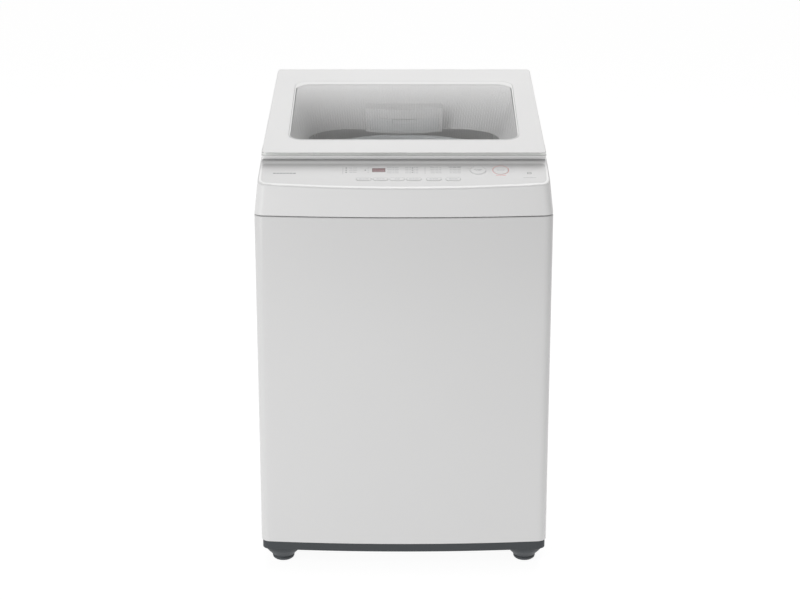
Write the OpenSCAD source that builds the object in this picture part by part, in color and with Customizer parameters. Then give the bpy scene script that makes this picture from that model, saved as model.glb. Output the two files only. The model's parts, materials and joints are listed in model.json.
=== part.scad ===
// Top load washing machine: a sheet steel cabinet with a bowed front on a plastic base ring, a moulded top cover
// with a sloping control panel and a glass lid, and a drum that hangs inside on four sprung rods.
// Millimetres. +X is the machine's left to right, +Y is to the back, +Z is up, Z = 0 is the floor.

/* [Cabinet] */
// Width over the sides
body_w = 540; // [500:1:600]
// Y of the front face where it meets the corners
front_y = -266; // [-290:1:-240]
// How far the front bulges forward at its middle
bow_rise = 14; // [6:1:24]
// Y of the back face of the wrap
back_y = 267; // [250:1:290]
// Radius of the front corners
corner_r = 18; // [14:1:30]
// Radius of the back corners
rear_corner_r = 14; // [10:1:30]
// Sheet thickness
sheet_t = 1; // [0.6:0.1:1.5]
// Bottom edge of the wrap
cab_z0 = 53; // [40:1:70]
// Top edge of the wrap
cab_z1 = 692; // [650:1:720]
// Width of the folded flanges
flange_w = 12; // [8:1:16]
// Half the width of the opening at the back
rear_gap_hw = 232; // [200:1:245]

/* [Base and feet] */
// Bottom of the base ring
base_z0 = 37; // [25:1:40]
// Wall thickness of the base ring
base_wall = 3; // [2:0.5:5]
// Width of the base ring's top flange
base_flange = 32; // [20:1:45]
// X of the feet
foot_x = 231; // [200:1:240]
// Y of the front feet
front_foot_y = -222; // [-240:1:-200]
// Y of the rear feet
rear_foot_y = 216; // [190:1:235]
// Radius of a foot
foot_r = 21; // [15:1:28]
// Height of a foot's pad
foot_h = 9; // [8:1:18]
// Radius of the foot's stud
stud_r = 5; // [4:0.5:6]
// Radius at the top of the moulded pod above a front foot
pod_r = 37; // [28:1:38]
// Height of the pod's lower edge
pod_z0 = 10; // [9.5:0.5:20]

/* [Top cover] */
// Bottom edge of the cover, just above the wrap
cover_z0 = 694; // [690:1:720]
// Y of the cover's back face
cover_back_y = 268; // [255:1:290]
// Wall thickness of the moulding
wall = 2.5; // [2:0.1:4]
// Inward draft of the sides for each millimetre of height
side_draft = 0.109; // [0.05:0.001:0.15]
// Backward lean of the front for each millimetre of height
front_lean = 0.18; // [0.05:0.01:0.3]
// Y of the panel's front edge at the corners
panel_y = -256; // [-262:1:-245]
// Height of the panel's front edge at the corners
panel_z = 749; // [735:1:760]
// Slope of the panel
panel_tilt = 18; // [10:0.5:25]
// Half width of the opening over the drum
mouth_hw = 187; // [175:1:200]
// Front edge of the opening
mouth_y0 = -172; // [-190:1:-160]
// Rear edge of the opening
mouth_y1 = 198; // [180:1:215]
// Corner radius of the opening
mouth_r = 83; // [50:1:110]
// Height of the opening's rim
mouth_z = 738.5; // [735:0.5:745]

/* [Lid] */
// Y of the lid's front edge
lid_y = -186; // [-200:1:-170]
// Height of the lid's top at its front edge
lid_z = 790; // [775:1:800]
// Slope of the lid
lid_tilt = 7.5; // [4:0.5:10]
// Thickness of the lid
lid_t = 16; // [12:1:22]
// Gap between lid and cover
lid_gap = 2; // [1:0.5:4]
// Length of the lid along its slope
lid_len = 457; // [440:1:470]
// Half width of the lid at the front
lid_hw0 = 259; // [250:1:265]
// Half width of the lid at the back
lid_hw1 = 253; // [245:1:262]
// Skin thickness of the lid
lid_skin = 3; // [2:0.5:4]
// Half width of the window
window_hw = 214; // [190:1:225]
// Front edge of the window from the lid's front edge
window_y0 = 64; // [50:1:80]
// Rear edge of the window from the lid's front edge
window_y1 = 385; // [360:1:400]
// Corner radius of the window
window_r = 28; // [15:1:40]
// Thickness of the glass
glass_t = 3; // [2.5:0.1:4]
// Distance of the hinge axis from the lid's front edge
hinge_y = 451; // [440:1:455]
// Depth of the hinge axis below the lid's top
hinge_drop = 10; // [8:0.5:13]
// X of the hinges
hinge_x = 200; // [160:1:225]
// Radius of a hinge pin
pin_r = 3; // [2.5:0.1:4]
// Running clearance of pins, shafts and studs
run_gap = 0.05; // [0.02:0.01:0.1]

/* [Controls] */
// Thickness of the panel insert
insert_t = 2; // [1.5:0.1:3]
// X of the six pill buttons
pill_x = [-72, -42, -12, 18, 54, 89];
// Distance of the pill buttons up the panel
pill_y = 17; // [12:0.5:22]
// Length of a pill button
pill_len = 26; // [20:1:30]
// Radius of a pill button's ends
pill_r = 5; // [4:0.5:7]
// Distance of the round buttons and the display up the panel
upper_y = 47; // [40:0.5:52]
// X of the start button
start_x = 134.5; // [120:0.5:150]
// Radius of the start button
start_r = 14.5; // [10:0.5:17]
// X of the power button
power_x = 175.5; // [165:0.5:190]
// Radius of the power button
power_r = 13.5; // [10:0.5:16]
// X of the display
display_x = -45.5; // [-60:0.5:-30]
// Width and height of the display
display_size = [24, 13];
// Gap round the buttons
button_gap = 0.4; // [0.3:0.1:0.6]
// Height of a button's stem
stem_h = 9; // [6:0.5:12]
// Depth of the circuit board below the panel
board_drop = 14; // [12:0.5:18]

/* [Detergent drawer] */
// Half width of the housing
housing_hw = 76; // [60:1:90]
// Y of the housing's front at its middle
housing_y0 = 161; // [150:1:175]
// How far the housing's front is bowed
housing_bow = 19; // [8:1:24]
// Y of the housing's back
housing_y1 = 264; // [250:1:265]
// Top of the housing
housing_z1 = 786; // [775:1:795]
// Top of the drawer bay
bay_z1 = 768; // [760:1:775]
// Half width of the drawer bay
bay_hw = 70; // [50:1:74]
// Gap round the drawer
drawer_gap = 0.6; // [0.4:0.1:1]

/* [Tub and drum] */
// Y of the drum's axis
drum_y = 4; // [-5:1:10]
// Outer radius of the tub
tub_r = 240; // [225:1:245]
// Wall thickness of the tub
tub_t = 3; // [2:0.5:4]
// Underside of the tub
tub_z0 = 182; // [160:1:200]
// Top edge of the tub
tub_z1 = 712; // [690:1:720]
// Outer radius of the drum shell
drum_r = 214; // [200:1:220]
// Sheet thickness of the drum
drum_t = 0.8; // [0.5:0.1:1.2]
// Bottom edge of the drum shell
drum_z0 = 204; // [195:1:215]
// Top edge of the drum shell
drum_z1 = 690; // [670:1:700]
// Radius of the drum's mouth
ring_r0 = 154; // [145:1:190]
// Top of the balance ring
ring_z1 = 735; // [725:0.5:736]
// Number of hole columns round the drum
hole_columns = 16; // [8:2:24]
// Number of hole rows up the drum
hole_rows = 5; // [3:1:8]
// Radius of a drum hole
hole_r = 2; // [1.5:0.1:3]
// Radius of the pulsator
pulsator_r = 168; // [150:1:185]
// Number of vanes on the pulsator
vanes = 6; // [3:1:8]

/* [Suspension] */
// X of the four rods
rod_x = 226; // [215:1:235]
// Y of the rods from the middle of the cabinet
rod_y = 222; // [215:1:230]
// Radius of a rod
rod_r = 4; // [3:0.5:5]
// Bottom end of the rods
rod_z0 = 216; // [200:1:240]
// Height of the corner brackets
bracket_z = 676; // [650:1:685]
// Height of the tub's lugs
lug_z = 330; // [300:1:360]
// Thickness of the lugs
lug_t = 12; // [8:1:16]
// Radius of a damper cup
cup_r = 22; // [18:1:25]
// Height of a damper cup
cup_h = 30; // [20:1:40]
// Mean radius of a spring
coil_r = 15; // [12:0.5:17]
// Radius of the spring wire
wire_r = 2; // [1.5:0.1:3]
// Turns of a spring
coil_turns = 6; // [4:1:9]
// Height of a spring's seat on the rod's end cap
cap_z = 236; // [225:1:250]

/* [Drive] */
// Underside of the support plate
plate_z = 150; // [140:1:160]
// Thickness of the support plate
plate_t = 4; // [3:0.5:5]
// Y of the motor's axis from the drum's axis
motor_y = 150; // [130:1:165]
// Outer radius of the motor
motor_r = 56; // [45:1:60]
// Middle of the belt
belt_z = 76; // [70:1:85]
// Width of the belt
belt_w = 6.6; // [5:0.1:7]
// X of the clutch lever's pivot from the drum's axis
lever_x = 80; // [76:1:95]
// Y of the clutch lever's pivot from the drum's axis
lever_y = 30; // [10:1:50]
// Pitch radius of the large pulley
pulley_r = 72; // [60:1:85]
// Pitch radius of the motor pulley
small_r = 18; // [14:1:24]
// Radius of the input shaft
input_r = 6; // [5:0.5:8]
// Outer radius of the hollow spin shaft
spin_r = 15; // [13:0.5:18]
// Radius of the wash shaft
wash_r = 7; // [6:0.5:8]
// Outer radius of the gear case
case_r = 42; // [40:1:48]
// Underside of the gear case
case_z0 = 108; // [104:1:112]
// Top of the gear case
case_z1 = 146; // [142:1:149]
// Gear module
gear_m = 1.25; // [1:0.05:1.5]
// Teeth of the sun and of each planet
sun_teeth = 15;
// Teeth of the ring
ring_teeth = 45;
// Height of the gear teeth
gear_h = 12; // [10:1:14]

/* [Water] */
// X of the water inlet
inlet_x = -190; // [-200:1:-170]
// Height of the water inlet
inlet_z = 716; // [712:1:720]
// Outer radius of the inlet's thread
inlet_r = 13.2; // [12:0.1:14]
// Farthest point to the back
tail_y = 280; // [275:1:290]
// X of the drain outlet
drain_x = -150; // [-180:1:-120]
// Height of the drain outlet
drain_z = 84; // [80:1:100]
// Outer radius of the drain outlet
drain_r = 15; // [12:0.5:18]
// Height of the drain valve's axis
valve_z = 122; // [118:1:126]
// X of the drain valve from the drum's axis
valve_x = -125; // [-140:1:-110]
// Y of the drain valve from the drum's axis
valve_y = -70; // [-90:1:-60]

// X of the cable gland
gland_x = 190; // [160:1:210]
// Height of the cable gland
gland_z = 640; // [600:1:660]
// Radius of the cable gland in its hole
gland_r = 9; // [7:0.5:11]

/* [Fixings] */
// Radius of a screw's shank
screw_r = 2; // [1.5:0.1:2.5]
// Radius of a screw's head
head_r = 4; // [3:0.1:5]
// Height of a screw's head
head_h = 2.4; // [2:0.1:3]

/* [Hidden] */
$fn = 64;
eps = 0.02;
big = 2400;
corner_n = 8;
bow_n = 24;
draft_top = 900;
deck_drop = lid_t + lid_gap;
tail_drop = deck_drop + 5;
tail_start = hinge_y - 14;
knuckle_r = 6.5;
knuckle_w = 22;
planet_c = gear_m * sun_teeth;
housing_z0 = mouth_z;
back_out = back_y + sheet_t;

// ---------- shared shapes ----------

function arc(cx, cy, r, a0, a1, n) =
  [for (i = [0:n]) let (a = a0 + (a1 - a0) * i / n) [cx + r * cos(a), cy + r * sin(a)]];

// Rounded rectangle given by its half width and its two ends
function slot_pts(hw, y0, y1, r) = concat(
  arc(hw - r, y0 + r, r, -90, 0, corner_n),
  arc(hw - r, y1 - r, r, 0, 90, corner_n),
  arc(-hw + r, y1 - r, r, 90, 180, corner_n),
  arc(-hw + r, y0 + r, r, 180, 270, corner_n)
);

// Outline with a bowed front and round corners, moved inward by d
function outline(d, hw, y0, y1) =
  let (
    bow = (hw * hw + bow_rise * bow_rise) / (2 * bow_rise),
    bow_y = y0 - bow_rise + bow,
    half = asin((hw - corner_r) / (bow - corner_r)),
    corner_y = bow_y - (bow - corner_r) * cos(half)
  )
  concat(
    arc(0, bow_y, bow - d, -90 - half, -90 + half, bow_n),
    arc(hw - corner_r, corner_y, corner_r - d, -90 + half, 0, corner_n),
    arc(hw - rear_corner_r, y1 - rear_corner_r, rear_corner_r - d, 0, 90, corner_n),
    arc(-hw + rear_corner_r, y1 - rear_corner_r, rear_corner_r - d, 90, 180, corner_n),
    arc(-hw + corner_r, corner_y, corner_r - d, 180, 270 - half, corner_n)
  );

function wrap_outline(d) = outline(d, body_w / 2, front_y, back_y);

function flat_ring(pts, z) = [for (p = pts) [p[0], p[1], z]];

// Ring drawn in the lid's own plane, at depth z below or above its top
function lid_ring(pts, z) =
  [for (p = pts) [
    p[0],
    lid_y + p[1] * cos(lid_tilt) - z * sin(lid_tilt),
    lid_z + p[1] * sin(lid_tilt) + z * cos(lid_tilt)
  ]];

// Ring of the drafted cover at height z
function draft_ring(z, d) =
  flat_ring(
    outline(
      d,
      body_w / 2 - (z - cover_z0) * side_draft,
      front_y + (z - cover_z0) * front_lean,
      cover_back_y
    ),
    z
  );

// Skin through rings of equal length, closed at both ends
module loft(rings) {
  n = len(rings[0]);
  m = len(rings);
  polyhedron(
    points = [for (r = rings) each r],
    faces = concat(
      [[for (i = [0:n - 1]) i]],
      [[for (i = [0:n - 1]) m * n - 1 - i]],
      [for (k = [0:m - 2], i = [0:n - 1]) [k * n + i, (k + 1) * n + i, (k + 1) * n + (i + 1) % n]],
      [for (k = [0:m - 2], i = [0:n - 1]) [k * n + i, (k + 1) * n + (i + 1) % n, k * n + (i + 1) % n]]
    )
  );
}

// Chain of points with its corners cut n times
function soften(p, n) =
  n == 0 ? p : soften(
    concat(
      [p[0]],
      [for (i = [0:len(p) - 2]) each [0.75 * p[i] + 0.25 * p[i + 1], 0.25 * p[i] + 0.75 * p[i + 1]]],
      [p[len(p) - 1]]
    ),
    n - 1
  );

// The same path, a little longer at both ends
function longer(p) = let (n = len(p)) concat(
  [2 * p[0] - p[1]],
  [for (i = [1:n - 2]) p[i]],
  [2 * p[n - 1] - p[n - 2]]
);

// Round bar swept along a path; side is a direction the path never follows
module sweep(path, r, side) {
  n = len(path);
  k = 24;
  loft([
    for (i = [0:n - 1])
      let (
        d = path[min(i + 1, n - 1)] - path[max(i - 1, 0)],
        u = cross(side, d) / norm(cross(side, d)),
        v = cross(d, u) / norm(d)
      )
      [for (j = [0:k - 1]) path[i] + r * (cos(360 * j / k) * u + sin(360 * j / k) * v)]
  ]);
}

module in_lid() {
  translate([0, lid_y, lid_z]) rotate([lid_tilt, 0, 0]) children();
}

module in_panel() {
  translate([0, panel_y, panel_z]) rotate([panel_tilt, 0, 0]) children();
}

module on_drum() {
  translate([0, drum_y, 0]) children();
}

module prism(pts, z0, z1) {
  translate([0, 0, z0]) linear_extrude(z1 - z0) polygon(pts);
}

module tube(r1, r0, z0, z1) {
  translate([0, 0, z0]) difference() {
    cylinder(r = r1, h = z1 - z0);
    translate([0, 0, -1]) cylinder(r = r0, h = z1 - z0 + 2);
  }
}

module rod(r, z0, z1) {
  translate([0, 0, z0]) cylinder(r = r, h = z1 - z0);
}

module box(x0, x1, y0, y1, z0, z1) {
  translate([x0, y0, z0]) cube([x1 - x0, y1 - y0, z1 - z0]);
}

module at_rods() {
  for (sx = [-1, 1], sy = [-1, 1]) translate([sx * rod_x, sy * rod_y, 0]) children();
}

// One child repeated in all four quarters of the cabinet
module quarters() {
  for (a = [0, 1], b = [0, 1]) mirror([a, 0, 0]) mirror([0, b, 0]) children();
}

// Everything below a plane of the cover, lowered by drop
module below(drop) {
  translate([-big / 2, -big / 2, -big - drop]) cube(big);
}

// Pan head screw pointing along -Z with its head's seat at Z = 0
module screw(length) {
  cylinder(r = head_r, h = head_h);
  translate([0, 0, -length]) cylinder(r = screw_r, h = length + eps);
}

// ---------- gears ----------

function inv(a) = tan(a) - a * PI / 180;

// Half the angle of a tooth at radius r, for a gear of n teeth thinned by slack
function half_tooth(n, r, slack) =
  let (
    rp = gear_m * n / 2,
    rb = rp * cos(20),
    a = acos(min(1, rb / max(r, rb)))
  )
  90 / n - slack / rp * 180 / PI / 2 + (inv(20) - inv(a)) * 180 / PI;

function gear_pts(n, r0, r1, slack) = [
  for (k = [0:n - 1], s = [-1, 1], j = [0:3])
    let (
      q = s < 0 ? j : 3 - j,
      r = r0 + (r1 - r0) * q / 3,
      a = 360 * k / n + s * half_tooth(n, r, slack)
    )
    [r * cos(a), r * sin(a)]
];

module gear(n) {
  rp = gear_m * n / 2;
  linear_extrude(gear_h) polygon(gear_pts(n, rp - 1.1 * gear_m, rp + 0.8 * gear_m, 0.12));
}

// ---------- cabinet ----------

module cabinet_wrap() {
  color("white") difference() {
    union() {
      difference() {
        prism(wrap_outline(0), cab_z0, cab_z1);
        prism(wrap_outline(sheet_t), cab_z0 - 1, cab_z1 + 1);
      }
      for (z = [cab_z0, cab_z1 - sheet_t]) {
        difference() {
          prism(wrap_outline(sheet_t / 2), z, z + sheet_t);
          prism(wrap_outline(flange_w), z - 1, z + sheet_t + 1);
        }
      }
    }
    box(-rear_gap_hw, rear_gap_hw, back_y - 30, back_y + 10, cab_z0 - 1, cab_z1 + 1);
    back_screw_places() rotate([90, 0, 0]) translate([0, 0, -5]) cylinder(r = screw_r + run_gap, h = 20);
    cover_screw_places() translate([0, 0, cab_z1 - 10]) cylinder(r = screw_r + run_gap, h = 20);
  }
}

module back_screw_places() {
  for (sx = [-1, 1], z = [80, 280, 480, 670]) translate([sx * 243, back_out, z]) children();
}

module cover_screw_places() {
  for (sx = [-1, 1], y = [-150, 150]) translate([sx * 262.5, y, 0]) children();
}

// Pressed steel back, with stiffening ribs and vents
module back_panel() {
  color("gainsboro") difference() {
    union() {
      box(-252, 252, back_y, back_out, 55, 691);
      for (z = [200, 330, 460, 590]) box(-190, 150, back_y, back_out + 3, z, z + 26);
    }
    translate([drain_x, back_y - 1, drain_z]) rotate([-90, 0, 0]) cylinder(r = drain_r + 1, h = 10);
    translate([gland_x, back_y - 1, gland_z]) rotate([-90, 0, 0]) cylinder(r = gland_r, h = 10);
    for (i = [0:7]) box(20, 110, back_y - 1, back_out + 5, 90 + 11 * i, 94 + 11 * i);
    back_screw_places() rotate([90, 0, 0]) translate([0, 0, -5]) cylinder(r = screw_r + run_gap, h = 20);
  }
}

// Gland through which the supply cable leaves
module cable_gland() {
  color("dimgray") translate([gland_x, back_y - 3, gland_z]) rotate([-90, 0, 0]) difference() {
    union() {
      cylinder(r = gland_r, h = 8);
      translate([0, 0, 3 + sheet_t]) cylinder(r = gland_r + 4, h = 4);
    }
    translate([0, 0, -1]) cylinder(r = 4, h = 20);
  }
}

// Screws of the back panel and the top cover, and the lock nuts of the front feet
module fasteners() {
  color("silver") {
    back_screw_places() rotate([-90, 0, 0]) screw(8);
    cover_screw_places() translate([0, 0, cab_z1 - sheet_t]) mirror([0, 0, 1]) screw(13);
    for (sx = [-1, 1]) translate([sx * foot_x, front_foot_y, cab_z0]) difference() {
      cylinder(r = 9.2, h = 6, $fn = 6);
      translate([0, 0, -1]) cylinder(r = stud_r + run_gap, h = 8);
    }
  }
}

// Moulded base ring with a top flange, foot bosses and pods over the front feet
module base_frame() {
  color("dimgray") difference() {
    union() {
      difference() {
        prism(wrap_outline(2), base_z0, cab_z0);
        prism(wrap_outline(2 + base_wall), base_z0 - 1, cab_z0 + 1);
      }
      difference() {
        prism(wrap_outline(3), cab_z0 - 4, cab_z0);
        prism(
          slot_pts(body_w / 2 - base_flange, front_y + base_flange, back_y - base_flange, 60),
          cab_z0 - 5,
          cab_z0 + 1
        );
      }
      for (sx = [-1, 1]) {
        translate([sx * foot_x, rear_foot_y, 0]) rod(22, base_z0, cab_z0 - 1);
        difference() {
          pod(sx, 0);
          pod(sx, base_wall);
        }
        translate([sx * foot_x, front_foot_y, 0]) rod(13, 24, cab_z0);
      }
    }
    for (sx = [-1, 1]) translate([sx * foot_x, front_foot_y, 0]) rod(stud_r + run_gap, 0, 80);
  }
}

// Round pod that narrows toward the foot; with an inset it is the hollow inside, open at the bottom
module pod(side, inset) {
  past = inset > 0 ? 1 : 0;
  translate([side * foot_x, front_foot_y, 0]) rotate_extrude() polygon([
    [0, pod_z0 - past],
    [21.5 - inset, pod_z0 - past],
    [24 - inset, pod_z0 + 4],
    [29 - inset, pod_z0 + 9],
    [34 - inset, pod_z0 + 15],
    [36 - inset, pod_z0 + 21],
    [pod_r - inset, base_z0 + 3],
    [pod_r - inset, cab_z0 - 4 - past],
    [0, cab_z0 - 4 - past]
  ]);
}

module adjustable_foot(side) {
  color("dimgray") translate([side * foot_x, front_foot_y, 0]) {
    rotate_extrude() polygon([
      [0, 0],
      [foot_r - 8, 0],
      [foot_r - 4, 1.2],
      [foot_r - 1, 3.6],
      [foot_r, foot_h - 2],
      [foot_r - 1, foot_h],
      [0, foot_h]
    ]);
    rod(stud_r, foot_h - 1, 68);
  }
}

module foot_left() {
  adjustable_foot(-1);
}

module foot_right() {
  adjustable_foot(1);
}

module rear_feet() {
  color("dimgray") for (sx = [-1, 1]) {
    translate([sx * foot_x, rear_foot_y, 0]) rotate_extrude() polygon([
      [0, 0],
      [foot_r - 2, 0],
      [foot_r, 2],
      [18, base_z0],
      [0, base_z0]
    ]);
  }
}

// ---------- top cover ----------

// Solid of the cover, every face moved inward by d
module cover_solid(d, z0) {
  difference() {
    intersection() {
      loft([draft_ring(z0, d), draft_ring(draft_top, d)]);
      in_lid() below(deck_drop + d);
      in_panel() below(d);
    }
    in_lid() translate([-big / 2, tail_start - d, -tail_drop - d]) cube(big);
  }
}

// Funnel from the seat of the lid down to the opening over the drum
module well(d) {
  mouth = slot_pts(mouth_hw + d, mouth_y0 - d, mouth_y1 + d, mouth_r + d);
  seat = slot_pts(222 + d, 36 - d, 420 + d, 60 + d);
  loft([flat_ring(mouth, mouth_z - 1), flat_ring(mouth, mouth_z), lid_ring(seat, 1 - deck_drop), lid_ring(seat, 20)]);
}

module panel_recess(grow, z0, z1) {
  intersection() {
    prism(outline(7 - grow, body_w / 2 - 6, front_y + 10, panel_y + 73), 700, 800);
    in_panel() box(-big / 2, big / 2, -40, big / 2, z0, z1);
  }
}

module housing_block(grow) {
  bow = (housing_hw * housing_hw + housing_bow * housing_bow) / (2 * housing_bow);
  intersection() {
    box(-housing_hw - grow, housing_hw + grow, 100, housing_y1, housing_z0 - grow, housing_z1 + grow);
    translate([0, housing_y0 + bow, 0]) rod(bow + grow, 700, 850, $fn = 180);
  }
}

module top_cover() {
  color("white") difference() {
    union() {
      difference() {
        cover_solid(0, cover_z0);
        cover_solid(wall, cover_z0 - 1);
      }
      intersection() {
        cover_solid(0, cover_z0);
        difference() {
          well(wall);
          box(-big, big, -big, big, 0, mouth_z);
        }
      }
      intersection() {
        cover_solid(0, cover_z0);
        panel_recess(4, -insert_t - wall, 0);
      }
      cover_screw_places() rod(5, cover_z0 + 2, cover_z0 + 14);
      for (sx = [-1, 1]) in_lid() translate([sx * hinge_x, 0, 0]) {
        box(-knuckle_w / 2, knuckle_w / 2, hinge_y - knuckle_r, hinge_y + knuckle_r - 2, -tail_drop - 1, -hinge_drop);
        translate([-knuckle_w / 2, hinge_y, -hinge_drop]) rotate([0, 90, 0]) cylinder(r = knuckle_r, h = knuckle_w);
      }
    }
    well(0);
    panel_recess(0.1, -insert_t, 20);
    in_panel() box(-98, 208, 7, 63, -20, 5);
    housing_block(0.5);
    translate([inlet_x, 250, inlet_z]) rotate([-90, 0, 0]) cylinder(r = inlet_r + 1.2, h = 40);
    cover_screw_places() rod(screw_r, cover_z0 - 5, cover_z0 + 12);
    for (sx = [-1, 1]) in_lid() translate([sx * hinge_x - 20, hinge_y, -hinge_drop]) {
      rotate([0, 90, 0]) cylinder(r = pin_r + run_gap, h = 40);
    }
  }
}

module pill(grow, z0, z1) {
  for (s = [-1, 1]) translate([s * (pill_len / 2 - pill_r), 0, 0]) rod(pill_r + grow, z0, z1);
  box(-pill_len / 2 + pill_r, pill_len / 2 - pill_r, -pill_r - grow, pill_r + grow, z0, z1);
}

module control_panel() {
  color("white") difference() {
    panel_recess(0, -insert_t, 0);
    in_panel() {
      for (x = pill_x) translate([x, pill_y, 0]) pill(button_gap, -5, 5);
      translate([start_x, upper_y, 0]) rod(start_r + button_gap, -5, 5);
      translate([power_x, upper_y, 0]) rod(power_r + button_gap, -5, 5);
      translate([display_x, upper_y, 0]) cube([display_size[0] + 0.2, display_size[1] + 0.2, 10], center = true);
    }
  }
}

module display_window() {
  color("darkred") in_panel() translate([display_x, upper_y, 0]) {
    box(-display_size[0] / 2, display_size[0] / 2, -display_size[1] / 2, display_size[1] / 2, -insert_t, 0);
  }
}

module board_housing() {
  color("gainsboro") in_panel() difference() {
    box(-96, 206, 9, 61, -24, -6);
    box(-94, 204, 11, 59, -22, 0);
  }
}

module control_board() {
  color("green") in_panel() difference() {
    box(-93, 203, 12, 58, -board_drop - 1.6, -board_drop);
    for (x = [-88, 198], y = [17, 53]) translate([x, y, 0]) rod(1.6, -board_drop - 3, -board_drop + 1);
  }
  color("black") in_panel() {
    for (x = pill_x) translate([x - 3, pill_y - 3, -board_drop]) cube([6, 6, 2.4]);
    for (x = [start_x, power_x]) translate([x - 3, upper_y - 3, -board_drop]) cube([6, 6, 2.4]);
    translate([display_x - 11, upper_y - 6, -board_drop]) cube([22, 12, 9]);
    box(20, 70, 34, 54, -board_drop, -board_drop + 5);
  }
  color("gray") in_panel() for (x = [-88, 198], y = [17, 53]) translate([x, y, 0]) tube(4, 1.2, -22, -board_drop - 1.6);
}

module pill_button(i) {
  color("white") in_panel() translate([pill_x[i], pill_y, 0]) {
    pill(0, -insert_t - 1.5, 0.3);
    rod(2.5, -stem_h - 0.8, -insert_t);
  }
}

module button_1() {
  pill_button(0);
}

module button_2() {
  pill_button(1);
}

module button_3() {
  pill_button(2);
}

module button_4() {
  pill_button(3);
}

module button_5() {
  pill_button(4);
}

module button_6() {
  pill_button(5);
}

module round_button(x, r) {
  color("white") in_panel() translate([x, upper_y, 0]) {
    rod(r, -insert_t - 1.5, 0.3);
    rod(2.5, -stem_h - 0.8, -insert_t);
  }
}

module start_button() {
  round_button(start_x, start_r);
}

module power_button() {
  round_button(power_x, power_r);
}

module lid_switch() {
  color("black") in_lid() {
    box(228, 248, 70, 110, -deck_drop - wall - 14, -deck_drop - wall);
  }
}

// ---------- lid ----------

function lid_pts(d) = concat(
  arc(lid_hw0 - 9, 9, 9 - d, -90, 0, corner_n),
  arc(lid_hw1 - 9, lid_len - 9, 9 - d, 0, 90, corner_n),
  arc(-lid_hw1 + 9, lid_len - 9, 9 - d, 90, 180, corner_n),
  arc(-lid_hw0 + 9, 9, 9 - d, 180, 270, corner_n)
);

// Band that follows the lid's front edge round both corners, from inside the outline to outside it
module front_band(outside, inside, z0, z1, y1) {
  intersection() {
    difference() {
      prism(lid_pts(-outside), z0, z1);
      prism(lid_pts(inside), z0 - 1, z1 + 1);
    }
    box(-big, big, -10, y1, -big, big);
  }
}

module hinge_notches(gap) {
  w = knuckle_w / 2 + gap;
  for (sx = [-1, 1]) box(sx * hinge_x - w, sx * hinge_x + w, hinge_y - knuckle_r - gap, lid_len + 5, -lid_t - 5, -lid_skin);
}

module lid_frame() {
  color("white") in_lid() difference() {
    union() {
      difference() {
        prism(lid_pts(0), -lid_t, 0);
        intersection() {
          prism(lid_pts(wall), -lid_t - 1, -lid_skin);
          box(-big, big, 9, big, -big, 0);
        }
      }
      front_band(1.4, 1, -9.5, -6.2, 9);
      for (sx = [-1, 1]) box(sx * hinge_x - 26, sx * hinge_x + 26, hinge_y - 16, lid_len - 1, -lid_t, -1);
    }
    prism(slot_pts(window_hw, window_y0, window_y1, window_r), -lid_t - 1, 1);
    hinge_notches(1);
    for (sx = [-1, 1]) translate([sx * hinge_x - 24, hinge_y, -hinge_drop]) rotate([0, 90, 0]) cylinder(r = pin_r, h = 48);
    front_band(3, 1, -6, -0.4, 9);
    translate([0, 0, -lid_t]) rotate([45, 0, 0]) cube([big, 8.5, 8.5], center = true);
  }
}

module lid_inner_frame() {
  color("white") in_lid() difference() {
    prism(slot_pts(window_hw + 28, window_y0 - 28, window_y1 + 28, window_r + 20), -lid_t + 1, -lid_skin - glass_t);
    prism(slot_pts(window_hw, window_y0, window_y1, window_r), -lid_t - 1, 1);
    difference() {
      prism(slot_pts(window_hw + 25, window_y0 - 25, window_y1 + 25, window_r + 17), -lid_t + 3.5, 1);
      prism(slot_pts(window_hw + 2.5, window_y0 - 2.5, window_y1 + 2.5, window_r + 2.5), -lid_t - 1, 2);
    }
  }
}

module lid_glass() {
  color("lightblue", 0.5) in_lid() {
    prism(slot_pts(window_hw + 12, window_y0 - 12, window_y1 + 12, window_r + 8), -lid_skin - glass_t, -lid_skin);
  }
}

module lid_trim() {
  color("silver") in_lid() front_band(0.6, 1, -5.9, -0.5, 8.8);
}

module lid_bumpers() {
  color("gray") in_lid() for (sx = [-1, 1], y = [14, 425]) translate([sx * 246, y, 0]) {
    rod(4, -deck_drop + 0.3, -lid_t);
    rod(2, -lid_t - 0.5, -lid_skin);
  }
}

module hinge_pins() {
  color("silver") in_lid() for (sx = [-1, 1]) translate([sx * hinge_x - 24, hinge_y, -hinge_drop]) {
    rotate([0, 90, 0]) cylinder(r = pin_r, h = 48);
  }
}

// ---------- water and controls inside ----------

module detergent_housing() {
  color("white") difference() {
    housing_block(0);
    box(-bay_hw, bay_hw, 100, housing_y1 - 8, housing_z0 + 3, bay_z1);
    box(-bay_hw, bay_hw, housing_y0 + 24, housing_y1 - 4, bay_z1 + 3, housing_z1 - 2.5);
    for (x = [-60:12:60]) translate([x, housing_y0 + 50, bay_z1 - 1]) cylinder(r = 1.5, h = 6);
    box(-30, 30, housing_y0 + 5, housing_y0 + 11, housing_z0 - 1, housing_z0 + 4);
    translate([-housing_hw - 1, housing_y1 - 11, housing_z1 - 9]) rotate([0, 90, 0]) cylinder(r = 5, h = 10);
  }
}

module drawer_front(d) {
  bow = (housing_hw * housing_hw + housing_bow * housing_bow) / (2 * housing_bow);
  difference() {
    translate([0, housing_y0 + bow, 0]) rod(bow, housing_z0 + 3 + drawer_gap, bay_z1 - drawer_gap, $fn = 180);
    translate([0, housing_y0 + bow + d, 0]) rod(bow, housing_z0, bay_z1 + 1, $fn = 180);
  }
}

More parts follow.
